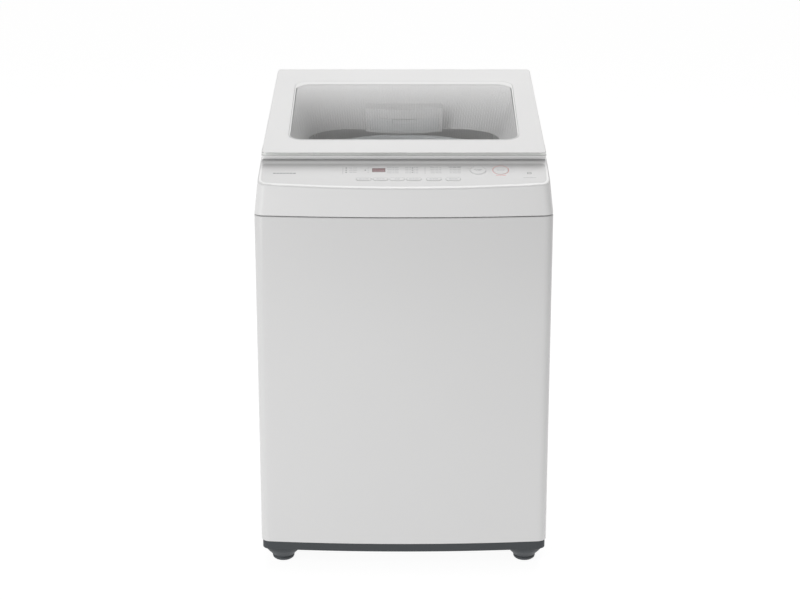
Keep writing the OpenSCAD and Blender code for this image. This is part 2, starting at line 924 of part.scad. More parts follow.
module detergent_drawer() {
  side = bay_hw - drawer_gap;
  back = housing_y1 - 10;
  z0 = housing_z0 + 3 + drawer_gap;
  color("lightgray") difference() {
    union() {
      intersection() {
        drawer_front(4);
        box(-side, side, 100, 200, 700, 800);
      }
      difference() {
        intersection() {
          box(-side, side, 100, back, z0, bay_z1 - 3);
          translate([0, housing_y0 + 2 + 162, 0]) rod(162, 700, 800, $fn = 180);
        }
        box(-side + 2, -1, housing_y0 + 24, back - 2, z0 + 2, 800);
        box(1, side - 2, housing_y0 + 24, back - 2, z0 + 2, 800);
      }
    }
    translate([0, housing_y0 - 1, bay_z1 - 3]) rotate([0, 90, 0]) cylinder(r = 7, h = 46, center = true);
  }
}

module inlet_valve() {
  color("white") difference() {
    union() {
      translate([inlet_x, 212, inlet_z]) rotate([-90, 0, 0]) cylinder(r = 12, h = 45);
      translate([inlet_x, 256, inlet_z]) rotate([-90, 0, 0]) cylinder(r = inlet_r, h = tail_y - 256);
      box(inlet_x - 14, inlet_x + 14, 254, 258, inlet_z - 14, inlet_z + 14);
      translate([inlet_x, 222, inlet_z]) rod(13, 0, 22);
    }
    translate([inlet_x, 240, inlet_z]) rotate([-90, 0, 0]) cylinder(r = 9, h = 60);
  }
  color("blue") translate([inlet_x, 222, inlet_z - 3]) mirror([0, 0, 1]) cylinder(r = 10, h = 12);
}

module inlet_hose() {
  z = housing_z1 - 9;
  path = soften([[inlet_x, 222, inlet_z + 22], [inlet_x, 224, z - 4], [inlet_x + 30, 250, z], [-housing_hw, 253, z]], 3);
  color("gray") difference() {
    sweep(path, 7, [0, 1, 0]);
    sweep(longer(path), 5, [0, 1, 0]);
  }
}

module pressure_sensor() {
  color("white") {
    translate([200, 236, 706]) cylinder(r = 20, h = 14);
    translate([200, 236, 698]) cylinder(r = 4, h = 10);
    box(186, 214, 250, 265.5, 706, 712);
  }
}

// ---------- suspension ----------

module suspension_brackets() {
  color("silver") difference() {
    intersection() {
      prism(wrap_outline(sheet_t), bracket_z, bracket_z + 3);
      quarters() translate([269, 269, 0]) rotate([0, 0, 45]) box(-85, 85, -75, 75, bracket_z - 1, bracket_z + 4);
    }
    at_rods() rod(rod_r + 0.5, bracket_z - 1, bracket_z + 4);
  }
}

module suspension_rods() {
  color("silver") at_rods() {
    rod(rod_r, rod_z0, bracket_z + 6);
    translate([0, 0, bracket_z + 8.5]) sphere(r = 7);
    tube(cup_r - 4, rod_r, cap_z - 4, cap_z);
    tube(9, rod_r, cap_z - 12, cap_z - 4);
  }
}

// One coil spring swept from round sections of eight sides
module coil(z0, z1) {
  n = coil_turns * 14;
  k = 8;
  polyhedron(
    points = [
      for (i = [0:n], j = [0:k - 1])
        let (
          a = 360 * coil_turns * i / n,
          r = coil_r + wire_r * cos(360 * j / k)
        )
        [r * cos(a), r * sin(a), z0 + wire_r + (z1 - z0 - 2 * wire_r) * i / n + wire_r * sin(360 * j / k)]
    ],
    faces = concat(
      [[for (j = [0:k - 1]) j]],
      [[for (j = [0:k - 1]) n * k + k - 1 - j]],
      [for (i = [0:n - 1], j = [0:k - 1]) [i * k + j, i * k + k + j, i * k + k + (j + 1) % k]],
      [for (i = [0:n - 1], j = [0:k - 1]) [i * k + j, i * k + k + (j + 1) % k, i * k + (j + 1) % k]]
    )
  );
}

module suspension_springs() {
  color("silver") at_rods() coil(cap_z, lug_z - 3);
}

module damper_cups() {
  color("white") at_rods() difference() {
    rod(cup_r, lug_z - cup_h, lug_z);
    rod(coil_r + wire_r + 1.5, lug_z - cup_h - 1, lug_z - 3);
    rod(rod_r + 1, 0, 600);
  }
}

// ---------- tub and drum ----------

module outer_tub() {
  color("whitesmoke") difference() {
    union() {
      on_drum() {
        tube(tub_r, tub_r - tub_t, tub_z0, tub_z1);
        rod(tub_r - 1, tub_z0, tub_z0 + 4);
        for (z = [220, 440, 620]) tube(tub_r + 6, tub_r - 1, z, z + 4);
        tube(46, 32, 158, tub_z0 + 1);
        for (a = [0:45:315]) rotate([0, 0, a]) box(44, tub_r - 4, -2, 2, tub_z0 - 12, tub_z0 + 1);
      }
      difference() {
        quarters() translate([rod_x, rod_y, 0]) rotate([0, 0, 45]) {
          rod(cup_r, lug_z, lug_z + lug_t);
          box(-95, 0, -cup_r, cup_r, lug_z, lug_z + lug_t);
          for (y = [-cup_r, cup_r - 5]) box(-95, -26, y, y + 5, lug_z - 40, lug_z + 50);
        }
        on_drum() rod(tub_r - 1, 0, 800);
      }
    }
    at_rods() rod(rod_r + 1, lug_z - 1, lug_z + lug_t + 1);
    on_drum() rod(28, tub_z0 - 1, tub_z0 + 6);
    on_drum() translate([valve_x, valve_y, 0]) rod(13, 170, 190);
  }
}

module tub_ring() {
  color("whitesmoke") on_drum() {
    tube(tub_r + 2, 217, tub_z1, tub_z1 + 2.5);
    tube(tub_r + 2, tub_r + 0.2, tub_z1 - 10, tub_z1 + eps);
    tube(219.5, 217, tub_z1 - 8, tub_z1 + eps);
  }
}

module tub_seal() {
  color("black") on_drum() tube(28, spin_r + run_gap, tub_z0 + 0.5, tub_z0 + 8);
}

module drum_shell() {
  color("silver") on_drum() difference() {
    tube(drum_r, drum_r - drum_t, drum_z0, drum_z1);
    for (i = [0:hole_columns / 2 - 1], j = [0:hole_rows - 1]) {
      translate([0, 0, drum_z0 + 60 + j * 95]) rotate([0, 0, (i + 0.5) * 360 / hole_columns]) {
        rotate([90, 0, 0]) cylinder(r = hole_r, h = 2 * drum_r + 20, center = true, $fn = 12);
      }
    }
  }
}

module drum_base() {
  color("white") on_drum() difference() {
    union() {
      rod(drum_r - drum_t, drum_z0, drum_z0 + 4);
      tube(drum_r - drum_t, drum_r - 5, drum_z0, drum_z0 + 24);
      for (a = [0:30:330]) rotate([0, 0, a]) box(80, drum_r - 4, -2, 2, drum_z0 - 6, drum_z0 + 1);
    }
    rod(50, drum_z0 - 10, drum_z0 + 30);
    for (a = [15:30:345], r = [90, 120, 150, 180]) rotate([0, 0, a]) translate([r, 0, drum_z0 - 1]) cylinder(r = 3, h = 8, $fn = 12);
  }
}

// Hollow ring, filled with brine, whose raised lip is the mouth of the drum
module balance_ring() {
  color("white") on_drum() rotate_extrude($fn = 180) polygon([
    [ring_r0 + 6, 700],
    [172, 688],
    [drum_r - drum_t, 676],
    [drum_r - drum_t, drum_z1],
    [drum_r + 1, drum_z1],
    [drum_r + 1, 704],
    [206, 716],
    [182, 728],
    [ring_r0 + 14, ring_z1],
    [ring_r0 + 2, ring_z1],
    [ring_r0, ring_z1 - 2],
    [ring_r0, 712]
  ]);
}

module lint_filters() {
  color("white") on_drum() for (a = [90, 270]) rotate([0, 0, a]) difference() {
    intersection() {
      tube(drum_r - drum_t, 196, drum_z0 + 40, 660);
      box(150, drum_r, -42, 42, drum_z0 + 30, 670);
    }
    intersection() {
      tube(211, 198, drum_z0 + 44, 656);
      box(150, drum_r, -40, 40, drum_z0 + 30, 664);
    }
    box(150, 200, -32, 32, 470, 630);
    for (i = [0:5]) box(150, 200, -28, 28, drum_z0 + 60 + i * 24, drum_z0 + 66 + i * 24);
  }
}

// Gear case with its internal ring gear, the hollow shafts on both sides and the flange under the drum
module spin_shaft() {
  color("silver") on_drum() difference() {
    union() {
      rod(case_r, case_z0, case_z1);
      rod(spin_r, case_z1 - 1, drum_z0 + 1);
      rod(spin_r, belt_z + 14, case_z0 + 1);
      tube(76, spin_r - 1, drum_z0 - 8, drum_z0);
      tube(49.5, spin_r - 1, drum_z0 - 1, drum_z0 + 6);
    }
    rod(wash_r + run_gap, case_z1 - 10, drum_z0 + 20);
    rod(input_r + run_gap, 60, case_z0 + 20);
    translate([0, 0, case_z0 + 6]) linear_extrude(case_z1 - case_z0 - 10) polygon(
      gear_pts(ring_teeth, gear_m * (ring_teeth / 2 - 0.7), gear_m * (ring_teeth / 2 + 1.15), -0.12)
    );
  }
}

module pulsator() {
  z0 = drum_z0 + 10;
  color("gainsboro") on_drum() difference() {
    union() {
      rotate_extrude($fn = 120) polygon([
        [0, z0],
        [pulsator_r - 4, z0],
        [pulsator_r, z0 + 6],
        [pulsator_r - 3, z0 + 12],
        [120, z0 + 9],
        [60, z0 + 16],
        [34, z0 + 34],
        [0, z0 + 38]
      ]);
      for (i = [0:vanes - 1]) rotate([0, 0, i * 360 / vanes]) {
        translate([0, 0, z0 + 6]) rotate([0, 90, 0]) translate([-6, 0, 26]) cylinder(r = 13, h = 130);
      }
    }
    rod(wash_r, z0 - 30, z0 + 26);
    rod(2.5, z0 + 20, z0 + 60);
    rod(8, z0 + 32, z0 + 60);
    rod(pulsator_r + 10, z0 - 30, z0);
  }
  color("silver") on_drum() {
    rod(2.5, z0 + 26, z0 + 33);
    rod(6, z0 + 32, z0 + 36);
  }
}

// Shaft that turns the pulsator, on the carrier that holds the planet gears
module wash_shaft() {
  color("gray") on_drum() {
    rod(wash_r, case_z1 - 8, drum_z0 + 36);
    rod(26, case_z1 - 10, case_z1 - 6);
    for (a = [0, 120, 240]) rotate([0, 0, a]) translate([planet_c, 0, 0]) rod(3, case_z0 + 9, case_z1 - 8);
  }
}

module planet(a) {
  color("goldenrod") on_drum() rotate([0, 0, a]) translate([planet_c, 0, case_z0 + 10]) difference() {
    gear(sun_teeth);
    translate([0, 0, -1]) cylinder(r = 3 + run_gap, h = gear_h + 2);
  }
}

module planet_1() {
  planet(0);
}

module planet_2() {
  planet(120);
}

module planet_3() {
  planet(240);
}

module input_shaft() {
  color("gray") on_drum() {
    rod(input_r, 58, case_z0 + 10);
    translate([0, 0, case_z0 + 10]) gear(sun_teeth);
  }
}

// ---------- drive ----------

// Grooved pulley round its own axis
module v_pulley(r, bore) {
  rotate_extrude($fn = 120) polygon([
    [bore, belt_z - 8],
    [r + 3, belt_z - 8],
    [r + 3, belt_z - 6],
    [r - 4, belt_z - 2],
    [r - 4, belt_z + 2],
    [r + 3, belt_z + 6],
    [r + 3, belt_z + 8],
    [bore, belt_z + 8]
  ]);
}

module drive_pulley() {
  color("silver") on_drum() {
    difference() {
      v_pulley(pulley_r, input_r);
      for (z = [belt_z - 9, belt_z + 3]) tube(pulley_r - 9, 16, z, z + 6);
      for (a = [0:60:300]) rotate([0, 0, a]) translate([38, 0, 0]) rod(13, 0, 200);
    }
    translate([0, 0, belt_z - 14]) difference() {
      cylinder(r = 10, h = 6, $fn = 6);
      translate([0, 0, -1]) cylinder(r = input_r, h = 8);
    }
  }
}

module shaft_bearings() {
  color("silver") on_drum() {
    tube(32, spin_r + run_gap, 164, 178);
    tube(32, spin_r + run_gap, 92, 104);
  }
}

// Steel plate under the tub with the bearing housing and the fixed brake band
module support_plate() {
  color("gray") on_drum() difference() {
    union() {
      box(-180, 130, -130, 215, plate_z, plate_z + plate_t);
      tube(60, 56, 92, plate_z + 1);
      tube(60, 32, 92, 96);
      for (p = [[-150, -110], [115, -90], [-90, 195], [90, 195]]) {
        translate([p[0], p[1], 0]) tube(9, 4, plate_z + plate_t - 1, tub_z0);
      }
      tube(44.6, 42.6, 118, 138);
      box(44, 58, -4, 4, 122, 134);
      translate([lever_x, lever_y, 0]) rod(4, 118, plate_z + 1);
    }
    rod(47, plate_z - 1, plate_z + 20);
    translate([0, motor_y, 0]) rod(20, plate_z - 1, plate_z + 20);
    translate([valve_x, valve_y, 0]) rod(20, plate_z - 1, plate_z + 20);
  }
}

// Lever that lets go of the brake when the drain valve's motor pulls it
module clutch_lever() {
  color("silver") on_drum() translate([lever_x, lever_y, 0]) difference() {
    union() {
      rod(9, 122, 134);
      box(-5, 5, -72, 0, 124, 128);
      translate([0, -72, 0]) rod(8, 124, 128);
    }
    rod(4 + run_gap, 100, 200);
    translate([0, -72, 0]) rod(3, 100, 200);
  }
}

module motor_housing() {
  color("silver") on_drum() translate([0, motor_y, 0]) difference() {
    union() {
      rod(motor_r, 100, plate_z);
      rod(22, 92, 101);
    }
    rod(36, 106, plate_z - 6);
    rod(6 + run_gap, 90, plate_z + 1);
  }
}

module motor_rotor() {
  color("silver") on_drum() translate([0, motor_y, 0]) {
    rod(6, 64, plate_z + 2);
    rod(35.4, 110, plate_z - 10);
    v_pulley(small_r, 5);
  }
}

function belt_pts(grow) =
  let (a = acos((pulley_r - small_r) / motor_y))
  concat(
    arc(0, 0, pulley_r + grow, 90 + a, 450 - a, 60),
    arc(0, motor_y, small_r + grow, 90 - a, 90 + a, 24)
  );

// Belt of trapezoidal section, built in an outer and an inner layer
module drive_belt() {
  color("black") on_drum() for (layer = [[2, -0.5, belt_w], [-0.5 + eps, -3, belt_w - 2.4]]) difference() {
    prism(belt_pts(layer[0]), belt_z - layer[2] / 2, belt_z + layer[2] / 2);
    prism(belt_pts(layer[1]), belt_z - 20, belt_z + 20);
  }
}

// Drain valve under the tub, with the small motor that opens it
module drain_valve() {
  color("gainsboro") on_drum() {
    difference() {
      union() {
        translate([valve_x - 25, valve_y, valve_z]) rotate([0, 90, 0]) cylinder(r = 22, h = 60);
        translate([valve_x, valve_y, 0]) rod(16, valve_z + 10, tub_z0);
        translate([valve_x - 12, valve_y, 0]) rod(9, valve_z - 62, valve_z - 10);
      }
      translate([valve_x - 22, valve_y, valve_z]) rotate([0, 90, 0]) cylinder(r = 18, h = 54);
      translate([valve_x, valve_y, 0]) rod(13, valve_z, tub_z0 + 1);
      translate([valve_x - 12, valve_y, 0]) rod(7, valve_z - 70, valve_z);
    }
    translate([valve_x + 35, valve_y, valve_z]) rotate([0, 90, 0]) cylinder(r = 2.5, h = 20);
    box(valve_x + 55, valve_x + 84, valve_y - 22, valve_y + 22, plate_z - 36, plate_z);
  }
}

// Hose from the drain valve to the outlet at the back; its cuff slides on the valve's spigot
module drain_hose() {
  x = valve_x - 12;
  y = drum_y + valve_y;
  cuff = [for (z = [78, 50, 26]) [x, y, z]];
  tail = [for (y = [190, tail_y - 10]) [drain_x, y, drain_z]];
  path = soften(concat(cuff, [[x - 8, y + 60, 30]], tail), 3);
  color("dimgray") difference() {
    union() {
      sweep(path, 13, [1, 0, 0]);
      translate([drain_x, 258, drain_z]) rotate([-90, 0, 0]) cylinder(r = drain_r, h = tail_y - 258);
    }
    sweep(concat([path[0] + [0, 0, 5]], path, [path[len(path) - 1] + [0, 15, 0]]), 10, [1, 0, 0]);
  }
}

cabinet_wrap();
back_panel();
base_frame();
foot_left();
foot_right();
rear_feet();
fasteners();
cable_gland();
top_cover();
control_panel();
display_window();
control_board();
board_housing();
button_1();
button_2();
button_3();
button_4();
button_5();
button_6();
start_button();
power_button();
lid_frame();
lid_inner_frame();
lid_glass();
lid_trim();
lid_bumpers();
hinge_pins();
lid_switch();
detergent_housing();
detergent_drawer();
inlet_valve();
inlet_hose();
pressure_sensor();
suspension_brackets();
suspension_rods();
suspension_springs();
damper_cups();
outer_tub();
tub_ring();
tub_seal();
drum_shell();
drum_base();
balance_ring();
lint_filters();
spin_shaft();
pulsator();
wash_shaft();
planet_1();
planet_2();
planet_3();
input_shaft();
drive_pulley();
shaft_bearings();
support_plate();
clutch_lever();
motor_housing();
motor_rotor();
drive_belt();
drain_valve();
drain_hose();
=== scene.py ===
"""Looks of a top load washing machine: an enamelled steel cabinet on a dark moulded base, a
moulded top cover with its control panel, a glass lid, and the works inside."""
import json
import math

import bmesh
import bpy
from mathutils import Matrix, Vector

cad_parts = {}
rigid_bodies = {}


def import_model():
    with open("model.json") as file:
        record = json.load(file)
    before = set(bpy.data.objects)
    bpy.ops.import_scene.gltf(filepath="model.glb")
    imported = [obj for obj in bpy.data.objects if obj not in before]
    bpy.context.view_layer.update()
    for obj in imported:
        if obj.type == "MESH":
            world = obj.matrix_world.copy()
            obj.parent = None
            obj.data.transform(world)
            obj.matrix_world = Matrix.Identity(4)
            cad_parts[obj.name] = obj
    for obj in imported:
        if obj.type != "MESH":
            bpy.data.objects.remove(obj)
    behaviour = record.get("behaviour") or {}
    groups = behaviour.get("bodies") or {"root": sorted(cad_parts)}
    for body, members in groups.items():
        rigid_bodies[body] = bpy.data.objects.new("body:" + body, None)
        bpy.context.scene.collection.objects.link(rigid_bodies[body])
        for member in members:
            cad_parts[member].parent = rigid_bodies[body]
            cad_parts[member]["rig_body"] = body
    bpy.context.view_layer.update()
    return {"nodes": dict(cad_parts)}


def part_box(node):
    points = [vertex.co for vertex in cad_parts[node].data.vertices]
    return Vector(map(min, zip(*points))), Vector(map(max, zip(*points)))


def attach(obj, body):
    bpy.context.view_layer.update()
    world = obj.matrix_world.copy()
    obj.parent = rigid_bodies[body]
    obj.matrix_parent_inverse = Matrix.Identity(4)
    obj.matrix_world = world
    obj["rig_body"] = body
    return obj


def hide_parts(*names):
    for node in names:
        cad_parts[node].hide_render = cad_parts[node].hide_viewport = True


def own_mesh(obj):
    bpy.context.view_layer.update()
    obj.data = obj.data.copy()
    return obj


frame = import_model()

MM = 0.001
# the drum's axis stands this far behind the middle, in millimetres
AXIS_Y = 4
DRUM_AXIS = Vector((0, AXIS_Y * MM, 0))
# slopes of the lid and of the control panel, in degrees
LID_TILT, PANEL_TILT = 7.5, 18
# their own planes, as the CAD lays them: x across, y up the slope, z out of it
LID = Matrix.Translation((0, -186 * MM, 790 * MM)) @ Matrix.Rotation(math.radians(LID_TILT), 4, "X")
PANEL = (Matrix.Translation((0, -256 * MM, 749 * MM))
         @ Matrix.Rotation(math.radians(PANEL_TILT), 4, "X"))
# the lid's window in the lid's plane: half its width, its front and rear edges, its corners' radius
WINDOW_HALF, WINDOW_FRONT, WINDOW_REAR, WINDOW_CORNER = 214, 64, 385, 28
# height of the printed ceramic in the lid's plane
PRINT = -0.28
# the pill keys' places across the control panel, their row and their captions' widths
PILLS = (-72, -42, -12, 18, 54, 89)
PILL_ROW = 17
CAPTIONS = (17, 15, 9, 17, 16, 16)
# how far a key's printing stands out of the control panel's plane
KEY_TOP = 0.3


# ---------------------------------------------------------------- camera and light


def camera():
    """The camera in front of the machine, well above its lid and looking down at it."""
    lens = bpy.data.cameras.new("camera")
    lens.sensor_width = 36
    lens.lens = 95.26
    lens.shift_x = -0.0048
    lens.shift_y = 0.0385
    down = 18.81
    made = bpy.data.objects.new("camera", lens)
    made.location = (0, -3.937, 1.725)
    made.rotation_euler = (math.radians(90 - down), 0, 0)
    bpy.context.scene.collection.objects.link(made)
    bpy.context.scene.camera = made


def softbox(name, at, toward, size, power):
    """A rectangular lamp at one point, turned toward another."""
    lamp = bpy.data.lights.new(name, "AREA")
    lamp.shape = "RECTANGLE"
    lamp.size, lamp.size_y = size
    lamp.energy = power
    made = bpy.data.objects.new(name, lamp)
    made.location = at
    made.rotation_euler = (Vector(toward) - Vector(at)).to_track_quat("-Z", "Y").to_euler()
    bpy.context.scene.collection.objects.link(made)


def studio():
    """A white room's even light, a large softbox at the left, one above and behind the lid, and
    a weak fill at the right."""
    scene = bpy.context.scene
    scene.view_settings.view_transform = "Standard"
    room = bpy.data.worlds.new("white_room")
    scene.world = room
    room.use_nodes = True
    light = room.node_tree.nodes["Background"].inputs
    light["Color"].default_value = linear("#fbfaf9")
    light["Strength"].default_value = 0.36
    softbox("left_softbox", (-2.6, -3.0, 2.2), (0, -0.1, 0.5), (1.6, 2.2), 62)
    softbox("top_softbox", (0.3, 1.5, 3.0), (0, 0, 0.8), (2.4, 1.4), 53)
    softbox("right_fill", (3.2, -2.4, 1.4), (0, 0, 0.5), (1.2, 2.0), 2)


# ---------------------------------------------------------------- finishes


def linear(code):
    """An sRGB hex value as the linear colour a shader takes."""
    parts = [int(code[i:i + 2], 16) / 255 for i in (1, 3, 5)]
    return [p / 12.92 if p <= 0.04045 else ((p + 0.055) / 1.055) ** 2.4 for p in parts] + [1.0]


def add(tree, kind, sockets=None, **settings):
    """One node with its settings; each socket gets a value, or a link from another socket."""
    made = tree.nodes.new(kind)
    for name, value in settings.items():
        setattr(made, name, value)
    for name, value in (sockets or {}).items():
        if isinstance(value, bpy.types.NodeSocket):
            tree.links.new(value, made.inputs[name])
        else:
            made.inputs[name].default_value = value
    return made


def blank(name):
    """A new material with an empty node tree, and its Object coordinates."""
    made = bpy.data.materials.new(name)
    made.use_nodes = True
    made.node_tree.nodes.clear()
    return made, made.node_tree, add(made.node_tree, "ShaderNodeTexCoord").outputs["Object"]


def shade(tree, sockets):
    """The material's own shader and its output."""
    body = add(tree, "ShaderNodeBsdfPrincipled", sockets)
    add(tree, "ShaderNodeOutputMaterial", {"Surface": body.outputs[0]})
    return body


def finish(name, tones, blotch, rough, grain, depth, stretch=(1, 1, 1), centre=(0, 0, 0), **more):
    """A finish of two tones in soft blotches whose gloss follows them, under a fine grain.

    blotch and grain are sizes in millimetres and depth is the grain's height. stretch scales the
    pattern along each axis: well under 1 draws the grain out into brush lines and the blotches into
    long bands along that axis."""
    made, tree, place = blank(name)
    spread = add(tree, "ShaderNodeMapping",
                 {"Vector": place, "Location": centre, "Scale": stretch}).outputs[0]
    patch = add(tree, "ShaderNodeTexNoise",
                {"Vector": spread, "Scale": 1 / (blotch * MM), "Detail": 3.0})
    tone = add(tree, "ShaderNodeMix",
               {0: patch.outputs[0], 6: linear(tones[0]), 7: linear(tones[1])}, data_type="RGBA")
    gloss = add(tree, "ShaderNodeMapRange",
                {"Value": patch.outputs[0], 1: 0.3, 2: 0.7, 3: rough[0], 4: rough[1]})
    fine = add(tree, "ShaderNodeTexNoise",
               {"Vector": spread, "Scale": 1 / (grain * MM), "Detail": 2.0})
    lift = add(tree, "ShaderNodeBump",
               {"Height": fine.outputs[0], "Distance": depth * MM, "Strength": 1.0})
    extra = {key.replace("_", " "): value for key, value in more.items()}
    shade(tree, {"Base Color": tone.outputs[2], "Roughness": gloss.outputs[0],
                 "Normal": lift.outputs[0], **extra})
    return made


def spangled(name, tones, rough, flake):
    """Hot-dip galvanised sheet: zinc crystals a few millimetres across, each with its own grey
    and gloss."""
    made, tree, place = blank(name)
    warp = add(tree, "ShaderNodeTexNoise", {"Vector": place, "Scale": 2 / (flake * MM)})
    bent = add(tree, "ShaderNodeMix", {0: 0.002, 4: place, 5: warp.outputs[1]}, data_type="VECTOR")
    crystal = add(tree, "ShaderNodeTexVoronoi",
                  {"Vector": bent.outputs[1], "Scale": 1 / (flake * MM)})
    own = add(tree, "ShaderNodeSeparateColor", {0: crystal.outputs["Color"]})
    tone = add(tree, "ShaderNodeMix", {0: own.outputs[0], 6: linear(tones[0]), 7: linear(tones[1])},
               data_type="RGBA")
    gloss = add(tree, "ShaderNodeMapRange", {"Value": own.outputs[1], 3: rough[0], 4: rough[1]})
    shade(tree, {"Base Color": tone.outputs[2], "Roughness": gloss.outputs[0], "Metallic": 0.9})
    return made


def turned(name, tones, rough, line, depth, metallic):
    """A surface finished as it turns round the drum's axis, with fine brush lines round it."""
    made, tree, place = blank(name)
    local = add(tree, "ShaderNodeVectorMath", {0: place, 1: DRUM_AXIS}, operation="SUBTRACT")
    part = add(tree, "ShaderNodeSeparateXYZ", {0: local.outputs[0]})
    flat = add(tree, "ShaderNodeCombineXYZ", {0: part.outputs[0], 1: part.outputs[1]})
    away = add(tree, "ShaderNodeVectorMath", {0: flat.outputs[0]}, operation="LENGTH")
    rings = add(tree, "ShaderNodeCombineXYZ", {0: away.outputs["Value"], 2: part.outputs[2]})
    drawn = add(tree, "ShaderNodeTexNoise",
                {"Vector": rings.outputs[0], "Scale": 1 / (line * MM), "Detail": 4.0})
    patch = add(tree, "ShaderNodeTexNoise",
                {"Vector": place, "Scale": 1 / (60 * MM), "Detail": 2.0})
    tone = add(tree, "ShaderNodeMix",
               {0: drawn.outputs[0], 6: linear(tones[0]), 7: linear(tones[1])}, data_type="RGBA")
    gloss = add(tree, "ShaderNodeMapRange",
                {"Value": patch.outputs[0], 1: 0.3, 2: 0.7, 3: rough[0], 4: rough[1]})
    lift = add(tree, "ShaderNodeBump",
               {"Height": drawn.outputs[0], "Distance": depth * MM, "Strength": 1.0})
    shade(tree, {"Base Color": tone.outputs[2], "Roughness": gloss.outputs[0],
                 "Normal": lift.outputs[0], "Metallic": metallic})
    return made


def tracked_board(name):
    """Green solder mask over copper tracks, which show as paler lines on a 2.5 mm grid."""
    made, tree, place = blank(name)
    tracks = add(tree, "ShaderNodeTexBrick",
                 {"Vector": place, "Color1": linear("#1d5a34"), "Color2": linear("#237040"),
                  "Mortar": linear("#4f9560"), "Scale": 100.0, "Mortar Size": 0.02},
                 offset=0.5)
    speck = add(tree, "ShaderNodeTexNoise", {"Vector": place, "Scale": 900.0})
    gloss = add(tree, "ShaderNodeMapRange", {"Value": speck.outputs[0], 3: 0.3, 4: 0.5})
    shade(tree, {"Base Color": tracks.outputs[0], "Roughness": gloss.outputs[0]})
    return made


def pane(name, tint):
    """Toughened glass: clear with a faint grey cast, smooth, and open to the lamps behind it."""
    made, tree, place = blank(name)
    patch = add(tree, "ShaderNodeTexNoise", {"Vector": place, "Scale": 1 / (90 * MM)})
    tone = add(tree, "ShaderNodeMix", {0: patch.outputs[0], 6: linear(tint[0]), 7: linear(tint[1])},
               data_type="RGBA")
    glass = add(tree, "ShaderNodeBsdfPrincipled",
                {"Base Color": tone.outputs[2], "Roughness": 0.0, "IOR": 1.5,
                                                   "Transmission Weight": 1.0})
    open_to_lamps = add(tree, "ShaderNodeBsdfTransparent", {0: linear(tint[0])})
    ray = add(tree, "ShaderNodeLightPath")
    both = add(tree, "ShaderNodeMixShader", {0: ray.outputs["Is Shadow Ray"], 1: glass.outputs[0],
                                             2: open_to_lamps.outputs[0]})
    add(tree, "ShaderNodeOutputMaterial", {"Surface": both.outputs[0]})
    return made


# Baked enamel on sheet steel: even white, glossy, with the faint orange peel of a sprayed coat
ENAMEL = finish("baked_enamel", ("#d9d9d9", "#dbdbdb"), 220, (0.3, 0.32), 3.5, 0.01)
# Moulded ABS with a fine spark-eroded grain: a softer white with a broad sheen
WHITE_ABS = finish("moulded_white_abs", ("#e2e2e2", "#e4e4e4"), 120, (0.37, 0.39), 0.9, 0.006)
# Hard-coated ABS of the control panel: pale grey with a satin face, so the lid's shade fades
# across it
PANEL_ABS = finish("hard_coated_abs_panel", ("#cbcbcb", "#cdcdcd"), 120, (0.4, 0.42), 0.7, 0.003)
# Unpainted polypropylene of the tub: milky, waxy and slightly uneven where the melt flowed
MILKY_PP = finish("milky_polypropylene", ("#cfd2d0", "#dcdedb"), 70, (0.42, 0.55), 1.4, 0.02)
# Talc-filled polypropylene of the base and the feet: dark grey with a matt grain
DARK_PP = finish("dark_filled_polypropylene", ("#373b3e", "#3f4347"), 30, (0.5, 0.62), 0.8, 0.02)
# Brushed aluminium foil on the lid's front edge: brush lines in its grain run along it and spread
# the light; its long pale and dark bands along the strip are a painted reflection
BRUSHED_FOIL_WITH_PAINTED_REFLECTION = finish("brushed_foil_with_painted_reflection", ("#a9aba9", "#e9eae8"), 12, (0.22, 0.3), 0.35,
                      0.004, stretch=(0.08, 1, 1), Metallic=1.0)
# Zinc-plated steel of screws, rods and springs: bright, with a slightly clouded passivation
ZINC = finish("zinc_plated_steel", ("#b4b8ba", "#cfd2d3"), 6, (0.25, 0.4), 0.5, 0.004, Metallic=1.0)
# Machined steel of the shafts and the rotor's core
MACHINED = turned("machined_steel", ("#8f9394", "#b0b3b3"), (0.25, 0.35), 0.8, 0.004, 1.0)
# Stainless steel drum: rolled, then brushed round its axis
STAINLESS = turned("brushed_stainless_steel", ("#a9abac", "#cdcfcf"), (0.2, 0.3), 1.2, 0.004, 1.0)
# Die-cast aluminium of the housings: pale grey with the die's soft skin
CAST = finish("die_cast_aluminium", ("#a3a6a7", "#b9bcbc"), 18, (0.4, 0.55), 1.6, 0.03,
              Metallic=0.95)
# Rolled steel painted black-grey on the support plate and the motor
PAINTED = finish("black_painted_steel", ("#2b2d2f", "#36383a"), 40, (0.35, 0.48), 2.2, 0.015)
# EPDM rubber of the hoses, the belt and the seals: nearly black with a dusty bloom
RUBBER = finish("epdm_rubber", ("#1c1d1e", "#2b2c2d"), 14, (0.55, 0.75), 0.9, 0.02)
# Grey elastomer of the lid's stops
SOFT_GREY = finish("grey_elastomer", ("#8b8e90", "#9a9da0"), 9, (0.6, 0.7), 0.6, 0.01)
# Black glass-filled nylon of the switch and the valve's parts
NYLON = finish("black_glass_filled_nylon", ("#232425", "#303132"), 12, (0.4, 0.55), 0.8, 0.012)
# White acetal of the damper cups, which slides on steel
ACETAL = finish("white_acetal", ("#dfdfd8", "#e9e9e3"), 20, (0.3, 0.4), 0.9, 0.004)
# Oil-filled nylon gears: a warm yellowish plastic
GEAR_NYLON = finish("oil_filled_nylon", ("#c8a860", "#d7ba77"), 8, (0.3, 0.42), 0.7, 0.006)
# Pale blue-grey polypropylene of the drawer
DRAWER_PP = finish("pale_polypropylene_drawer", ("#dcdfe0", "#e2e4e5"), 45, (0.34, 0.4), 1.0, 0.008)
# Satin ABS of the pulsator and the balance ring
PULSATOR_ABS = finish("satin_abs_pulsator", ("#cdd2d5", "#d8dcde"), 60, (0.32, 0.42), 1.0, 0.008)
